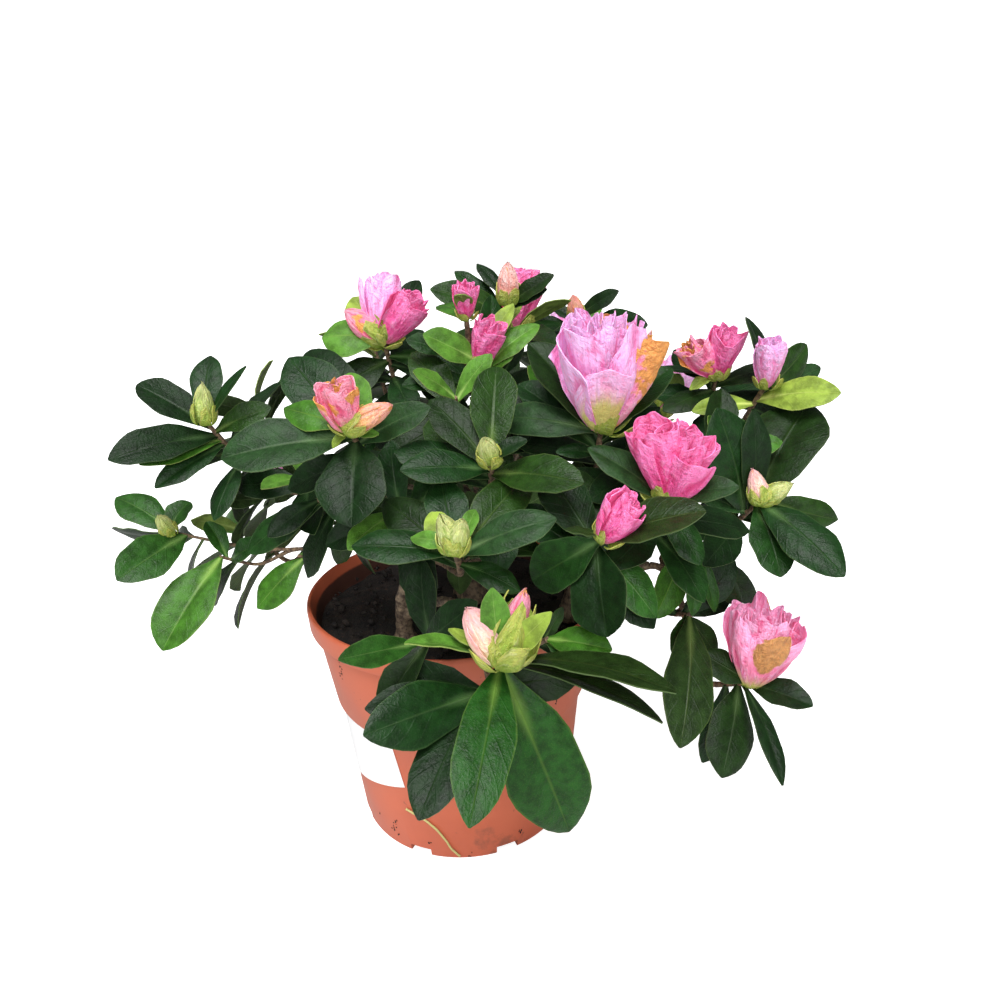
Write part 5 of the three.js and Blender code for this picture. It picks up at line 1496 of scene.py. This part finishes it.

# Petal colours: foot, middle, edge, which also makes the painted highlights, and painted shade for folds and
# creases, how far it is browned, where the foot's colour ends, and whether it has one large browned patch
PETAL_COLOURS = {
    "hot": ((0.7, 0.26, 0.3), (0.84, 0.1, 0.34), (0.92, 0.22, 0.5), (0.6, 0.015, 0.14), 0.25, 0.02, 0),
    "lavender": ((0.66, 0.6, 0.18), (0.9, 0.36, 0.56), (0.95, 0.52, 0.84), (0.84, 0.2, 0.42), 0.15, 0.56, 0),
    "singed": ((0.84, 0.3, 0.4), (0.9, 0.32, 0.56), (0.94, 0.5, 0.62), (0.8, 0.14, 0.3), 0.95, 0.1, 0),
    "singed hot": ((0.7, 0.26, 0.3), (0.84, 0.12, 0.36), (0.92, 0.34, 0.5), (0.62, 0.03, 0.14), 0.7, 0.02, 0),
    "lilac": ((0.84, 0.22, 0.46), (0.9, 0.32, 0.62), (0.94, 0.52, 0.88), (0.76, 0.1, 0.34), 0.1, 0.1, 0),
    "rose": ((0.62, 0.5, 0.2), (0.86, 0.2, 0.34), (0.92, 0.36, 0.48), (0.66, 0.05, 0.14), 0.6, 0.12, 0),
    "rose pink": ((0.62, 0.6, 0.14), (0.86, 0.22, 0.38), (0.93, 0.38, 0.62), (0.72, 0.05, 0.2), 0.2, 0.08, 0),
    "browned": ((0.62, 0.6, 0.14), (0.86, 0.22, 0.38), (0.93, 0.38, 0.62), (0.72, 0.05, 0.2), 0.3, 0.1, 1),
    "salmon": ((0.62, 0.6, 0.14), (0.88, 0.42, 0.36), (0.92, 0.54, 0.5), (0.8, 0.22, 0.18), 0.4, 0.15, 0),
    "apricot": ((0.62, 0.6, 0.14), (0.88, 0.46, 0.18), (0.92, 0.4, 0.34), (0.84, 0.2, 0.14), 0.5, 0.2, 0),
    "cream": ((0.6, 0.58, 0.16), (0.9, 0.66, 0.46), (0.92, 0.46, 0.48), (0.86, 0.4, 0.32), 0.3, 0.15, 0),
    "green": ((0.2, 0.3, 0.04), (0.36, 0.46, 0.1), (0.56, 0.58, 0.22), (0.18, 0.28, 0.03), 0.1, 0.2, 0),
    "calyx": ((0.17, 0.27, 0.02), (0.3, 0.4, 0.05), (0.4, 0.42, 0.08), (0.13, 0.22, 0.015), 0.2, 0.2, 0),
}
PETAL_SLOTS = {name: slot for slot, name in enumerate(PETAL_COLOURS)}


def head_frame(head):
    """Two directions square to the head's line, the first nearest straight up"""
    axis = head["direction"]
    top = unit(vec(0, 0, 1) - axis * axis[2])
    return top, np.cross(axis, top)


def petal_part(head, template, slot, turn, span, radii, heights, tip=0.3, ruffle=0.0, lobes=2.5, lap=0.0,
               pleat=0.0):
    """One petal round the head's line: its radius and height run along a smooth line of control points, given
    as shares of the head's radius and length. Its edge is rounded, ruffled and lapped over the next petal's,
    and its body pleated and crumpled"""
    top, side = head_frame(head)
    route = Curve(*[vec(r * head["radius"], z * head["length"]) for r, z in zip(radii, heights)])
    phase = rng.uniform(0, 2 * math.pi, 6)
    lean = rng.uniform(-0.25, 0.25)

    def folded(share, across):
        gather = np.sin(across * 8.5 + phase[3] + 1.8 * np.sin(share * 5 + phase[4]))
        crumple = np.sin(share * 11 + phase[5] + 2.2 * np.sin(across * 4 + phase[3]))
        crumple *= np.sin(across * 5.5 + phase[4])
        fine = np.sin(across * 17 + phase[5] + 2.5 * np.sin(share * 8 + phase[3]))
        fine *= np.sin(share * 9 + phase[2])
        return 0.5 + 0.24 * gather + 0.2 * crumple + 0.12 * fine

    def surface(share, across):
        teeth = 0.06 * np.sin(across * 4 + phase[0]) + 0.018 * np.sin(across * 11 + phase[1])
        reached = share * (1 - tip * np.abs(across + lean) ** 3 + teeth * share)
        radius, height = route.point(reached[..., None]).T
        outer = share ** 2 * head["radius"] / 8
        fold = np.sin(across * lobes * math.pi + phase[1] + 1.5 * share)
        fold = fold + 0.35 * np.sin(across * lobes * 7 + phase[2])
        body = 2.2 * pleat * head["radius"] * np.sqrt(share) * (folded(share, across) - 0.5)
        radius = radius * (1 + lap * across) + ruffle * outer * fold + body
        height = height + 0.6 * ruffle * outer * np.sin(across * lobes * 1.6 * math.pi + phase[2])
        angle = math.radians(turn) + across * math.radians(span)
        around = top * np.cos(angle)[..., None] + side * np.sin(angle)[..., None]
        return head["foot"] + head["direction"] * height[..., None] + around * radius[..., None]

    share, across = np.clip(template["share"], 0.0, 1.0), template["across"]
    places = surface(share, across)
    step = 1e-3
    run = surface(share + step, across) - surface(share - step, across)
    width = surface(share, across + step) - surface(share, across - step)
    normal = np.cross(run, width)
    normal /= np.maximum(np.linalg.norm(normal, axis=1, keepdims=True), 1e-9)
    offset = rng.uniform(0, 40, 2)
    length = head["length"]
    return dict(
        points=places + normal * template["through"][:, None] * PETAL_HALF_THICKNESS,
        faces=template["faces"],
        slots=np.full(len(template["faces"]), slot),
        blade=np.stack([share, across / 2 + 0.5], axis=1),
        grain=np.stack([share * length, across * head["radius"] * math.radians(span)], axis=1) / 10 + offset,
        fold=np.stack([folded(share, across), np.full(len(share), rng.uniform())], axis=1),
    )


def whorl(head, template, slot, count, turn, span, radii, heights, spread=0.0, **shape):
    """A ring of petals, each a little unlike the next"""
    parts = []
    for k in range(count):
        odd = rng.uniform(-1, 1, 3)
        own_radii = [r * (1 + spread * odd[0]) for r in radii]
        own_heights = [z * (1 + 0.5 * spread * odd[1]) for z in heights]
        own_turn = turn + 360 / count * (k + 0.15 * odd[2])
        parts.append(petal_part(head, template, slot, own_turn, span, own_radii, own_heights, **shape))
    return parts


def closed_bud(head, slot):
    """A small bud under overlapping scales"""
    outer = (0.3, 1.25, 1.2, 0.1), (0, 0.1, 0.72, 1)
    parts = whorl(head, SCALE, slot, 4, 20, 58, *outer, 0.04, tip=0.35, lap=0.06)
    inner = (0.25, 1.05, 1.0, 0.05), (0, 0.2, 0.8, 1.02)
    parts += whorl(head, SCALE, slot, 3, 70, 66, *inner, tip=0.2, lap=0.08)
    green = (0.5, 1.3, 1.35, 1.0), (0, 0.02, 0.3, 0.55)
    return parts + whorl(head, SCALE, PETAL_SLOTS["calyx"], 5, 0, 34, *green, 0.12, tip=0.5)


def showing_bud(head, slot):
    """A pointed bud whose furled petals show over its scales"""
    outer = (0.25, 1.2, 1.25, 0.12), (0, 0.2, 0.8, 1)
    parts = whorl(head, PETAL, slot, 4, 10, 64, *outer, 0.05, tip=0.3, lap=0.08)
    inner = (0.2, 1.0, 1.0, 0.05), (0, 0.25, 0.9, 1.03)
    parts += whorl(head, PETAL, slot, 3, 60, 62, *inner, tip=0.2, lap=0.1)
    green = (0.45, 1.3, 1.35, 1.15), (0, 0.02, 0.28, 0.5)
    return parts + whorl(head, SCALE, PETAL_SLOTS["calyx"], 5, 0, 36, *green, 0.15, tip=0.55)


def calyx(head, radii, heights, count=5, span=32):
    """Green bracts that clasp the flower's foot"""
    slot = PETAL_SLOTS["calyx"]
    return whorl(head, SCALE, slot, count, 18, span, radii, heights, 0.2, tip=0.5, pleat=0.03)


def half_open(head, slot, pleat=0.075, ruffle=1.1, spread=0.1):
    """Petals furled round each other, with a crumpled mouth over a green calyx"""
    crumpled = dict(spread=spread, tip=0.14, pleat=pleat, ruffle=ruffle)
    outer = (0.2, 0.9, 1.06, 1.1), (0, 0.22, 0.66, 0.93)
    parts = whorl(head, BROAD_PETAL, slot, 3, 0, 74, *outer, lap=0.16, lobes=0.9, **crumpled)
    middle = (0.15, 0.75, 0.86, 0.76), (0, 0.3, 0.8, 1.0)
    parts += whorl(head, BROAD_PETAL, slot, 3, 55, 72, *middle, lap=0.24, lobes=1.2, **crumpled)
    inner = (0.1, 0.46, 0.52, 0.4), (0, 0.35, 0.82, 0.99)
    parts += whorl(head, PETAL, slot, 3, 10, 80, *inner, lap=0.32, lobes=1.6, **crumpled)
    crumpled["ruffle"] = 0.6
    core = (0.05, 0.2, 0.2, 0.12), (0, 0.35, 0.8, 0.9)
    parts += whorl(head, PETAL, slot, 2, 60, 100, *core, lap=0.4, lobes=1.5, **crumpled)
    return parts + calyx(head, (0.3, 0.8, 1.0, 1.04), (0, 0.0, 0.14, 0.28))


def ragged_flower(head, slot):
    """A half-open flower whose petals stand at odd heights, torn and crumpled"""
    return half_open(head, slot, 0.09, 1.5, 0.2)


def rolled_flower(head, slot):
    """Two broad petals rolled round a deep hollow"""
    crumpled = dict(tip=0.1, pleat=0.07)
    outer = (0.2, 0.7, 0.86, 0.9), (0, 0.25, 0.7, 1.0)
    parts = whorl(head, HERO_PETAL, slot, 3, 30, 78, *outer, 0.06, lap=0.22, ruffle=0.9, lobes=0.8,
                  **crumpled)
    inner = (0.15, 0.5, 0.62, 0.6), (0, 0.3, 0.8, 0.96)
    parts += whorl(head, BROAD_PETAL, slot, 2, 80, 104, *inner, 0.08, lap=0.3, ruffle=0.8, lobes=1.1,
                   **crumpled)
    return parts + calyx(head, (0.3, 0.7, 0.86, 0.9), (0, 0.0, 0.14, 0.26))


def tip_in_bracts(head, slot):
    """A furled tip that shows between tall green bracts"""
    furled = (0.2, 0.62, 0.66, 0.08), (0, 0.3, 0.8, 1)
    parts = whorl(head, BROAD_PETAL, slot, 3, 10, 76, *furled, 0.05, tip=0.3, lap=0.12, pleat=0.05)
    tall = (0.35, 1.05, 1.0, 0.66), (0, 0.05, 0.5, 0.86)
    parts += whorl(head, PETAL, PETAL_SLOTS["calyx"], 4, 160, 46, *tall, 0.12, tip=0.45, pleat=0.05)
    return parts + calyx(head, (0.4, 1.15, 1.3, 1.35), (0, 0.02, 0.22, 0.42))


def cup_flower(head, slot):
    """A wide cup of crumpled petals on a narrow foot, one petal laid open to the front"""
    top, side = head_frame(head)
    front = math.degrees(math.atan2(-side[1], -top[1]))
    patched = slot == PETAL_SLOTS["browned"]
    plain = PETAL_SLOTS["rose pink"] if patched else PETAL_SLOTS["lilac"]
    crumpled = dict(tip=0.2, pleat=0.065)
    deep = dict(crumpled, lap=0.1, ruffle=1.4, lobes=0.8)
    walls = ((62, 1.08, 0.92), (128, 0.98, 0.96), (200, 0.92, 0.98), (282, 1.0, 0.94))
    parts = []
    for turn, reach, rise in walls:
        wall = (0.14, 0.62 * reach, 0.95 * reach, 0.92 * reach), (0, 0.2, 0.62 * rise, 0.97 * rise)
        parts.append(petal_part(head, HERO_PETAL, plain, front + turn, 58, *wall, **deep))
    opened = (0.13, 0.6, 0.98, 1.16), (0, 0.16, 0.46, 0.68)
    if patched:
        opened = (0.13, 0.66, 1.0, 1.04), (0, 0.18, 0.55, 0.84)
    laid_open = dict(tip=0.34, ruffle=0.9, lobes=0.7, pleat=0.045)
    parts.append(petal_part(head, HERO_PETAL, slot, front - 12, 44, *opened, **laid_open))
    rings = ((3, 30, 74, 0.8, 0.96), (3, 85, 74, 0.6, 1.0), (3, 10, 78, 0.4, 0.97), (2, 50, 95, 0.2, 0.92))
    for count, turn, span, radius, rise in rings:
        wall = (0.1, 0.6 * radius, radius, 0.9 * radius), (0, 0.3, 0.76, rise)
        parts += whorl(head, BROAD_PETAL, plain, count, front + turn, span, *wall, 0.14, lap=0.22,
                       ruffle=1.5, lobes=1.0, **crumpled)
    return parts + calyx(head, (0.13, 0.3, 0.34, 0.4), (0, 0.0, 0.11, 0.2), 5, 28)


def open_bloom(head, slot):
    """A double flower: petals flare from a narrow foot, with crumpled petals inside"""
    crumpled = dict(pleat=0.08, lobes=1.0)
    outer = (0.12, 0.3, 0.75, 0.98), (0, 0.35, 0.66, 0.84)
    parts = whorl(head, BROAD_PETAL, slot, 5, 0, 52, *outer, 0.14, ruffle=1.2, tip=0.25, lap=0.1, **crumpled)
    middle = (0.1, 0.3, 0.62, 0.8), (0, 0.4, 0.8, 1.0)
    parts += whorl(head, BROAD_PETAL, slot, 4, 30, 58, *middle, 0.14, ruffle=1.2, tip=0.16, lap=0.15,
                   **crumpled)
    inner = (0.08, 0.24, 0.42, 0.5), (0, 0.4, 0.85, 1.0)
    parts += whorl(head, BROAD_PETAL, slot, 4, 0, 62, *inner, 0.14, ruffle=1.0, tip=0.14, lap=0.2, **crumpled)
    core = (0.05, 0.16, 0.24, 0.22), (0, 0.4, 0.8, 0.95)
    parts += whorl(head, BROAD_PETAL, slot, 3, 50, 75, *core, 0.15, ruffle=0.8, tip=0.1, lap=0.3, **crumpled)
    return parts + calyx(head, (0.12, 0.3, 0.32, 0.42), (0, 0.04, 0.18, 0.26))


HEAD_MAKERS = dict(small=closed_bud, bud=showing_bud, half=half_open, cup=cup_flower, bloom=open_bloom,
                   ragged=ragged_flower, roll=rolled_flower, tip=tip_in_bracts)


def make_blossom(masses):
    materials = []
    for name, (*tones, browning, foot_end, patch) in PETAL_COLOURS.items():
        tones = [colour(*tone) for tone in (*tones, BROWNED if patch else TAN)]
        materials.append(petal_material(f"{name} petal", *tones, browning, foot_end, patch))
    kinds = dict(buds=[], flowers=[])
    for mass in masses:
        heads = [head for each in mass["shoots"] for head in each["heads"]]
        for k, head in enumerate(heads):
            plain = (BACK_COLOURS[k % len(BACK_COLOURS)], head["kind"], 1, 1)
            name, form, width, length = head["look"] or plain
            sized = dict(head, radius=head["radius"] * width, length=head["length"] * length)
            parts = HEAD_MAKERS[form](sized, PETAL_SLOTS[name])
            kinds["buds" if head["kind"] in ("small", "bud") else "flowers"] += parts
    for name, parts in kinds.items():
        piece = joined_piece(name, parts, materials, 60)
        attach(piece, "root")


# Stems, boughs and twigs, with radii from foot to tip in millimetres

TWIG_RADII = (1.35, 0.95)
TWIGLET_RADII = (0.7, 0.5)
STALK_RADII = (1.0, 1.4)
THIN_TWIG = 0.62
KNOTS = 40
KNOT_SPREAD = 0.12
BARK_VOXEL = 0.6


def route_of(curve, start, end, radius_at, step=2.5, slot=0):
    """Points along part of a curve with their radii"""
    length = np.linalg.norm(curve.point(end) - curve.point(start))
    count = max(3, int(length / step) + 1)
    shares = np.linspace(start, end, count)
    points = np.array([curve.point(share) for share in shares])
    return dict(points=points, radii=np.array([radius_at(share) for share in shares]), slot=slot)


def make_twigs(masses, twiglets):
    """Thin twigs: brown where they bend, green under the leaves, with short stalks to the blossom"""
    routes = []
    for mass in masses:
        for each in mass["shoots"]:
            knots = 1 + KNOT_SPREAD * rng.uniform(-1, 1, KNOTS)
            slender = THIN_TWIG if mass["name"] == "left_low" else 1

            def radius_at(share):
                return mix(*TWIG_RADII, share) * knots[int(share * (KNOTS - 1))] * slender

            routes.append(route_of(each["twig"], 0, TWIG_BENT, radius_at, slot=int(slender < 1)))
            routes.append(route_of(each["twig"], TWIG_BENT, 1, radius_at, 1.5, 1))
            for head in each["heads"]:
                ends = Curve(each["tip"] - each["axis"] * 2, head["foot"] + head["direction"] * 2.5)
                routes.append(route_of(ends, 0, 1, lambda share: mix(*STALK_RADII, share), 1.2, 1))
    for twiglet in twiglets:
        line = Curve(twiglet["start"], twiglet["tip"])
        routes.append(route_of(line, 0, 1, lambda share: mix(*TWIGLET_RADII, share), 3, 1))
    materials = [
        bark_material("brown twig bark", colour(0.07, 0.04, 0.025), colour(0.24, 0.16, 0.09), 700.0),
        bark_material("green twig bark", colour(0.18, 0.21, 0.04), colour(0.40, 0.43, 0.12), 600.0),
    ]
    twigs = mesh_piece("twigs", tubes("twigs", routes), materials)
    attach(twigs, "root")


def make_boughs(stems, masses, nodes):
    """Stems and boughs fused in one, with the relief of bark"""
    routes = []
    for stem in stems.values():
        def radius_at(share):
            flare = 1 + FLARE * max(0, 1 - share / FLARE_REACH) ** 2
            return mix(stem["thick"], stem["thin"], share) / 2 * flare
        route = route_of(stem["curve"], 0, 1, radius_at)
        sunk = route["points"][0] - vec(0, 0, 3)
        route["points"] = np.concatenate([[sunk], route["points"]])
        route["radii"] = np.concatenate([[route["radii"][0] * 1.05], route["radii"]])
        routes.append(route)
    for mass in masses:
        routes.append(route_of(mass["bough"], 0, 1, lambda share: mix(BOUGH_FOOT, BOUGH_TIP, share) / 2))
    bark = bark_material("stem bark", colour(0.06, 0.04, 0.028), colour(0.26, 0.19, 0.12), 420.0, 0.9)
    boughs = mesh_piece("stems_and_boughs", tubes("stems_and_boughs", routes, 3), [bark])
    remesh = boughs.modifiers.new("fuse", "REMESH")
    remesh.mode = "VOXEL"
    remesh.voxel_size = BARK_VOXEL * MM
    apply_modifiers(boughs)
    bark_relief(boughs.data)
    boughs.data.polygons.foreach_set("use_smooth", np.ones(len(boughs.data.polygons), bool))
    boughs.data.materials.clear()
    boughs.data.materials.append(bark)
    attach(boughs, "root")
    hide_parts(*nodes)


def bark_relief(mesh):
    """Furrows along the limbs and rings round them"""
    count = len(mesh.vertices)
    places = np.empty(count * 3)
    mesh.vertices.foreach_get("co", places)
    places = places.reshape(-1, 3)
    normals = np.empty(count * 3)
    mesh.vertices.foreach_get("normal", normals)
    normals = normals.reshape(-1, 3)
    x, y, z = (places / MM).T
    furrow = np.sin(x * 2.1 + 1.4 * np.sin(z * 0.31)) * np.sin(y * 2.3 + np.sin(z * 0.27))
    ring = np.sin(z * 1.3 + 1.5 * np.sin(x * 0.9) + np.sin(y * 0.8))
    relief = (0.16 * furrow + 0.08 * ring) * MM
    mesh.vertices.foreach_set("co", (places + normals * relief[:, None]).ravel())
    mesh.update()


# Pot, compost, label and thread

# Compost: its edge under the rim, the rings of its lumpy top, and the crumbs on it and in each stain
COMPOST_EDGE = RIM_RADIUS - 4.5
COMPOST_RINGS = 9
CRUMBS = 240
STAIN_CRUMBS = 4

# The label runs between two turns round the pot and leans, and the thread passes places given by turn and
# height
LABEL_TURNS = (184, 244)
LABEL_FOOT = (18, 34)
LABEL_TALL = 31
LABEL_TOP = 56
LABEL_LEAN = 4
LABEL_OUT = 0.25
LABEL_HALF_THICKNESS = 0.1
THREAD = ((243, 23), (248, 21.5), (253, 19.5), (258, 15.5), (262, 10), (264, 6), (268, 2))
THREAD_OUT = 0.6
THREAD_RADIUS = 0.42
THREAD_POINTS = 26

# Dried soil on the pot's side, by turn and height
STAINS = (
    (222, 87), (222, 84), (221, 81), (220, 79), (233, 10), (234, 12), (231, 8), (222, 11), (235, 5), (253, 6),
    (273, 2), (192, 5), (204, 62), (247, 61), (300, 8), (315, 66), (120, 9), (60, 62), (20, 12), (150, 80),
)


def wall_radius(height):
    """Outer radius of the pot's body or collar at a height"""
    if height < COLLAR_FOOT:
        return mix(BASE_RADIUS, BODY_TOP_RADIUS, height / COLLAR_FOOT)
    return mix(COLLAR_RADIUS, RIM_RADIUS - LIP_WIDTH, (height - COLLAR_FOOT) / COLLAR_HEIGHT)


def on_wall(turn, height, out):
    return polar(turn, wall_radius(height) + out, height)


def spun(profile, steps):
    """A closed shape turned round the pot's line from its profile of radius and height"""
    bm = bmesh.new()
    verts = [bm.verts.new((radius, 0, height)) for radius, height in profile]
    for first, second in zip(verts, verts[1:]):
        bm.edges.new((first, second))
    bmesh.ops.spin(bm, geom=bm.verts[:] + bm.edges[:], cent=(0, 0, 0), axis=(0, 0, 1), angle=2 * math.pi,
                   steps=steps, use_merge=True)
    bmesh.ops.remove_doubles(bm, verts=bm.verts[:], dist=0.001)
    bmesh.ops.recalc_face_normals(bm, faces=bm.faces[:])
    return bm


def make_pot():
    lip_foot = POT_HEIGHT - LIP_HEIGHT
    profile = [
        (0, 1.2), (BASE_RADIUS - 7, 1.2), (BASE_RADIUS - 6, 0), (BASE_RADIUS - 1, 0),
        (BASE_RADIUS - 0.3, 0.3), (BASE_RADIUS, 1), (wall_radius(20), 20), (wall_radius(40), 40),
        (BODY_TOP_RADIUS, COLLAR_FOOT - 1),
        (BODY_TOP_RADIUS + 0.4, COLLAR_FOOT - 0.5), (COLLAR_RADIUS - 0.3, COLLAR_FOOT - 0.3),
        (COLLAR_RADIUS, COLLAR_FOOT + 0.3), (wall_radius(75), 75), (wall_radius(lip_foot - 1), lip_foot - 1),
        (RIM_RADIUS - 0.7, lip_foot - 0.3), (RIM_RADIUS - 0.4, lip_foot + 0.3),
        (RIM_RADIUS, POT_HEIGHT - 1.5), (RIM_RADIUS - 0.15, POT_HEIGHT - 0.5),
        (RIM_RADIUS - 0.6, POT_HEIGHT), (RIM_RADIUS - 1.4, POT_HEIGHT),
        (RIM_RADIUS - 1.8, POT_HEIGHT - 0.5), (wall_radius(lip_foot) - WALL, lip_foot),
        (COLLAR_RADIUS - WALL, COLLAR_FOOT + 1.5), (BODY_TOP_RADIUS - WALL, COLLAR_FOOT),
        (BASE_RADIUS - WALL, 1.8), (0, 1.8),
    ]
    cutters = bmesh.new()
    for index in range(NOTCHES):
        angle = (index + 0.5) * 2 * math.pi / NOTCHES
        place = Matrix.Rotation(angle, 4, "Z") @ Matrix.Translation((BASE_RADIUS, 0, 0))
        size = Matrix.Diagonal((2 * 6, NOTCH_WIDTH, 2 * NOTCH_HEIGHT, 1))
        bmesh.ops.create_cube(cutters, size=1, matrix=place @ size)
    notches = bmesh_piece("drainage_notches", cutters, [])
    pot = bmesh_piece("pot_shell", spun(profile, 128), [pot_material()])
    cut = pot.modifiers.new("notches", "BOOLEAN")
    cut.operation = "DIFFERENCE"
    cut.object = notches
    apply_modifiers(pot)
    bpy.data.objects.remove(notches)
    pot.data.set_sharp_from_angle(angle=math.radians(35))
    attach(pot, "root")
    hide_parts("pot")


def make_compost():
    """Lumpy peat under the stems, with crumbs lying on it and stuck to the pot"""
    bm = bmesh.new()
    bmesh.ops.create_circle(bm, cap_ends=True, segments=96, radius=COMPOST_EDGE)
    for _ in range(COMPOST_RINGS):
        centre = max(bm.faces, key=lambda face: len(face.verts))
        inset = COMPOST_EDGE / (COMPOST_RINGS + 1)
        bmesh.ops.inset_region(bm, faces=[centre], thickness=inset, depth=0)
    for vert in bm.verts:
        x, y = vert.co.x, vert.co.y
        lump = math.sin(x * 0.33 + 1.2 * math.sin(y * 0.21)) * math.sin(y * 0.29 + math.sin(x * 0.17))
        fine = math.sin(x * 1.3 + 2 * math.sin(y * 0.9)) * math.sin(y * 1.1 + 2 * math.sin(x * 0.7))
        near_edge = max(0, math.hypot(x, y) / COMPOST_EDGE - 0.8) / 0.2
        vert.co.z = COMPOST_TOP - 1.2 + 1.1 * lump + 0.5 * fine - 2.5 * near_edge
    bmesh.ops.recalc_face_normals(bm, faces=bm.faces[:])
    top = bm.faces[:]
    if top[0].normal.z < 0:
        bmesh.ops.reverse_faces(bm, faces=top)
    for _ in range(CRUMBS):
        angle, reach = rng.uniform(0, 2 * math.pi), COMPOST_EDGE * math.sqrt(rng.uniform(0, 0.95))
        size = rng.uniform(0.5, 1.7)
        place = Matrix.Translation((reach * math.cos(angle), reach * math.sin(angle), COMPOST_TOP - 1.0))
        turn = Matrix.Rotation(rng.uniform(0, 6), 4, Vector(rng.uniform(-1, 1, 3)))
        shape = Matrix.Diagonal((size * rng.uniform(0.8, 1.9), size, size * rng.uniform(0.5, 0.9), 1))
        bmesh.ops.create_icosphere(bm, subdivisions=1, radius=1, matrix=place @ turn @ shape)
    for turn, height in STAINS:
        for _ in range(STAIN_CRUMBS):
            spot = on_wall(turn + rng.uniform(-1.2, 1.2), height + rng.uniform(-1.4, 1.4), 0)
            place = Matrix.Translation(spot) @ Matrix.Rotation(math.radians(turn), 4, "Z")
            shape = Matrix.Diagonal((0.12, rng.uniform(0.15, 0.45), rng.uniform(0.2, 0.7), 1))
            bmesh.ops.create_icosphere(bm, subdivisions=1, radius=1, matrix=place @ shape)
    compost = bmesh_piece("peat", bm, [compost_material()], 180)
    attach(compost, "root")
    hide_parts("compost")


def make_label():
    """A plain white sticker, stuck askew round the pot's side under the collar"""
    template = sheet_template(24, 6)
    share, rise = template["share"], template["across"] / 2 + 0.5
    turns = mix(*LABEL_TURNS, share) - LABEL_LEAN * rise * share
    foot = mix(*LABEL_FOOT, share)
    heights = mix(foot, np.minimum(foot + LABEL_TALL, LABEL_TOP), rise)
    out = LABEL_OUT + LABEL_HALF_THICKNESS * template["through"]
    points = np.array([on_wall(*spot) for spot in zip(turns, heights, out)])
    faces = template["faces"][:, ::-1]
    flat = np.zeros((len(points), 2))
    slots = np.zeros(len(faces), int)
    part = dict(points=points, faces=faces, slots=slots, blade=flat, grain=flat, fold=flat)
    label = joined_piece("label", [part], [plain_material("white label", colour(0.88, 0.89, 0.90), 0.45)])
    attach(label, "root")


def make_thread():
    """A thin pale rootlet that clings to the pot's side"""
    knots = np.array([on_wall(turn, height, THREAD_OUT) for turn, height in THREAD])
    shares = np.linspace(0, len(knots) - 1, THREAD_POINTS)
    points = np.stack([np.interp(shares, range(len(knots)), places) for places in knots.T], axis=1)
    route = dict(points=points, radii=np.full(len(points), THREAD_RADIUS))
    material = plain_material("pale rootlet", colour(0.45, 0.42, 0.16), 0.7)
    thread = mesh_piece("rootlet", tubes("rootlet", [route]), [material])
    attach(thread, "root")


# Floor, light and camera. Floor and backdrop glow for the camera alone, so that they show white

FLOOR_HALF = 6000
FLOOR_GLOW = 0.8
FLOOR_LIGHT = 0.02
BACKDROP = 1.1
ROOM_LIGHT = 0.26
WHITE = (1.0, 1.0, 1.0)


def camera_only(tree, shown, otherwise):
    """One strength for what the camera sees, and another for the light that falls on the plant"""
    seen = add(tree, "ShaderNodeLightPath").outputs["Is Camera Ray"]
    return times_plus(tree, seen, shown - otherwise, otherwise)


def make_studio():
    bm = bmesh.new()
    bmesh.ops.create_grid(bm, x_segments=1, y_segments=1, size=FLOOR_HALF)
    pale = plain_material("pale floor", colour(0.74, 0.74, 0.74), 0.8)
    tree = pale.node_tree
    glow = camera_only(tree, FLOOR_GLOW, FLOOR_LIGHT)
    fill(tree, tree.nodes["Principled BSDF"], {"Emission Color": colour(*WHITE), "Emission Strength": glow})
    floor = bmesh_piece("pale_floor", bm, [pale])

    world = bpy.data.worlds.new("studio")
    world.use_nodes = True
    tree = world.node_tree
    strength = camera_only(tree, BACKDROP, ROOM_LIGHT)
    fill(tree, tree.nodes["Background"], {"Color": colour(*WHITE), "Strength": strength})
    bpy.context.scene.world = world

    soft_sun("overhead softbox", (-0.14, -0.45, 1.0), 3.9, 34)
    soft_sun("front softbox", (0.1, -1.0, 0.45), 1.45, 30)


def soft_sun(name, direction, strength, breadth):
    light = bpy.data.lights.new(name, "SUN")
    light.energy = strength
    light.angle = math.radians(breadth)
    holder = bpy.data.objects.new(name, light)
    holder.rotation_euler = Vector(direction).to_track_quat("Z", "Y").to_euler()
    bpy.context.collection.objects.link(holder)


def make_camera():
    data = bpy.data.cameras.new("front view")
    data.lens = data.sensor_width * FOCAL_PIXELS / (2 * PHOTO_MIDDLE)
    data.clip_start = 0.01
    camera = bpy.data.objects.new("front view", data)
    turn = Matrix([Vector(line) for line in (VIEW_RIGHT, VIEW_UP, -VIEW_AHEAD)]).transposed()
    camera.matrix_world = Matrix.Translation(Vector(EYE * MM)) @ turn.to_4x4()
    bpy.context.collection.objects.link(camera)
    bpy.context.scene.camera = camera
    bpy.context.scene.view_settings.view_transform = "Standard"


stems, masses, twiglets, growth = lay_out()
foliage_nodes = [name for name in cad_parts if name.startswith("foliage_")]
wood_nodes = [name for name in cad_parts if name.startswith(("bough_", "stem_")) or name == "trunk"]
make_leaves(growth, foliage_nodes)
make_blossom(masses)
make_twigs(masses, twiglets)
make_boughs(stems, masses, wood_nodes)
make_pot()
make_compost()
make_label()
make_thread()
make_studio()
make_camera()
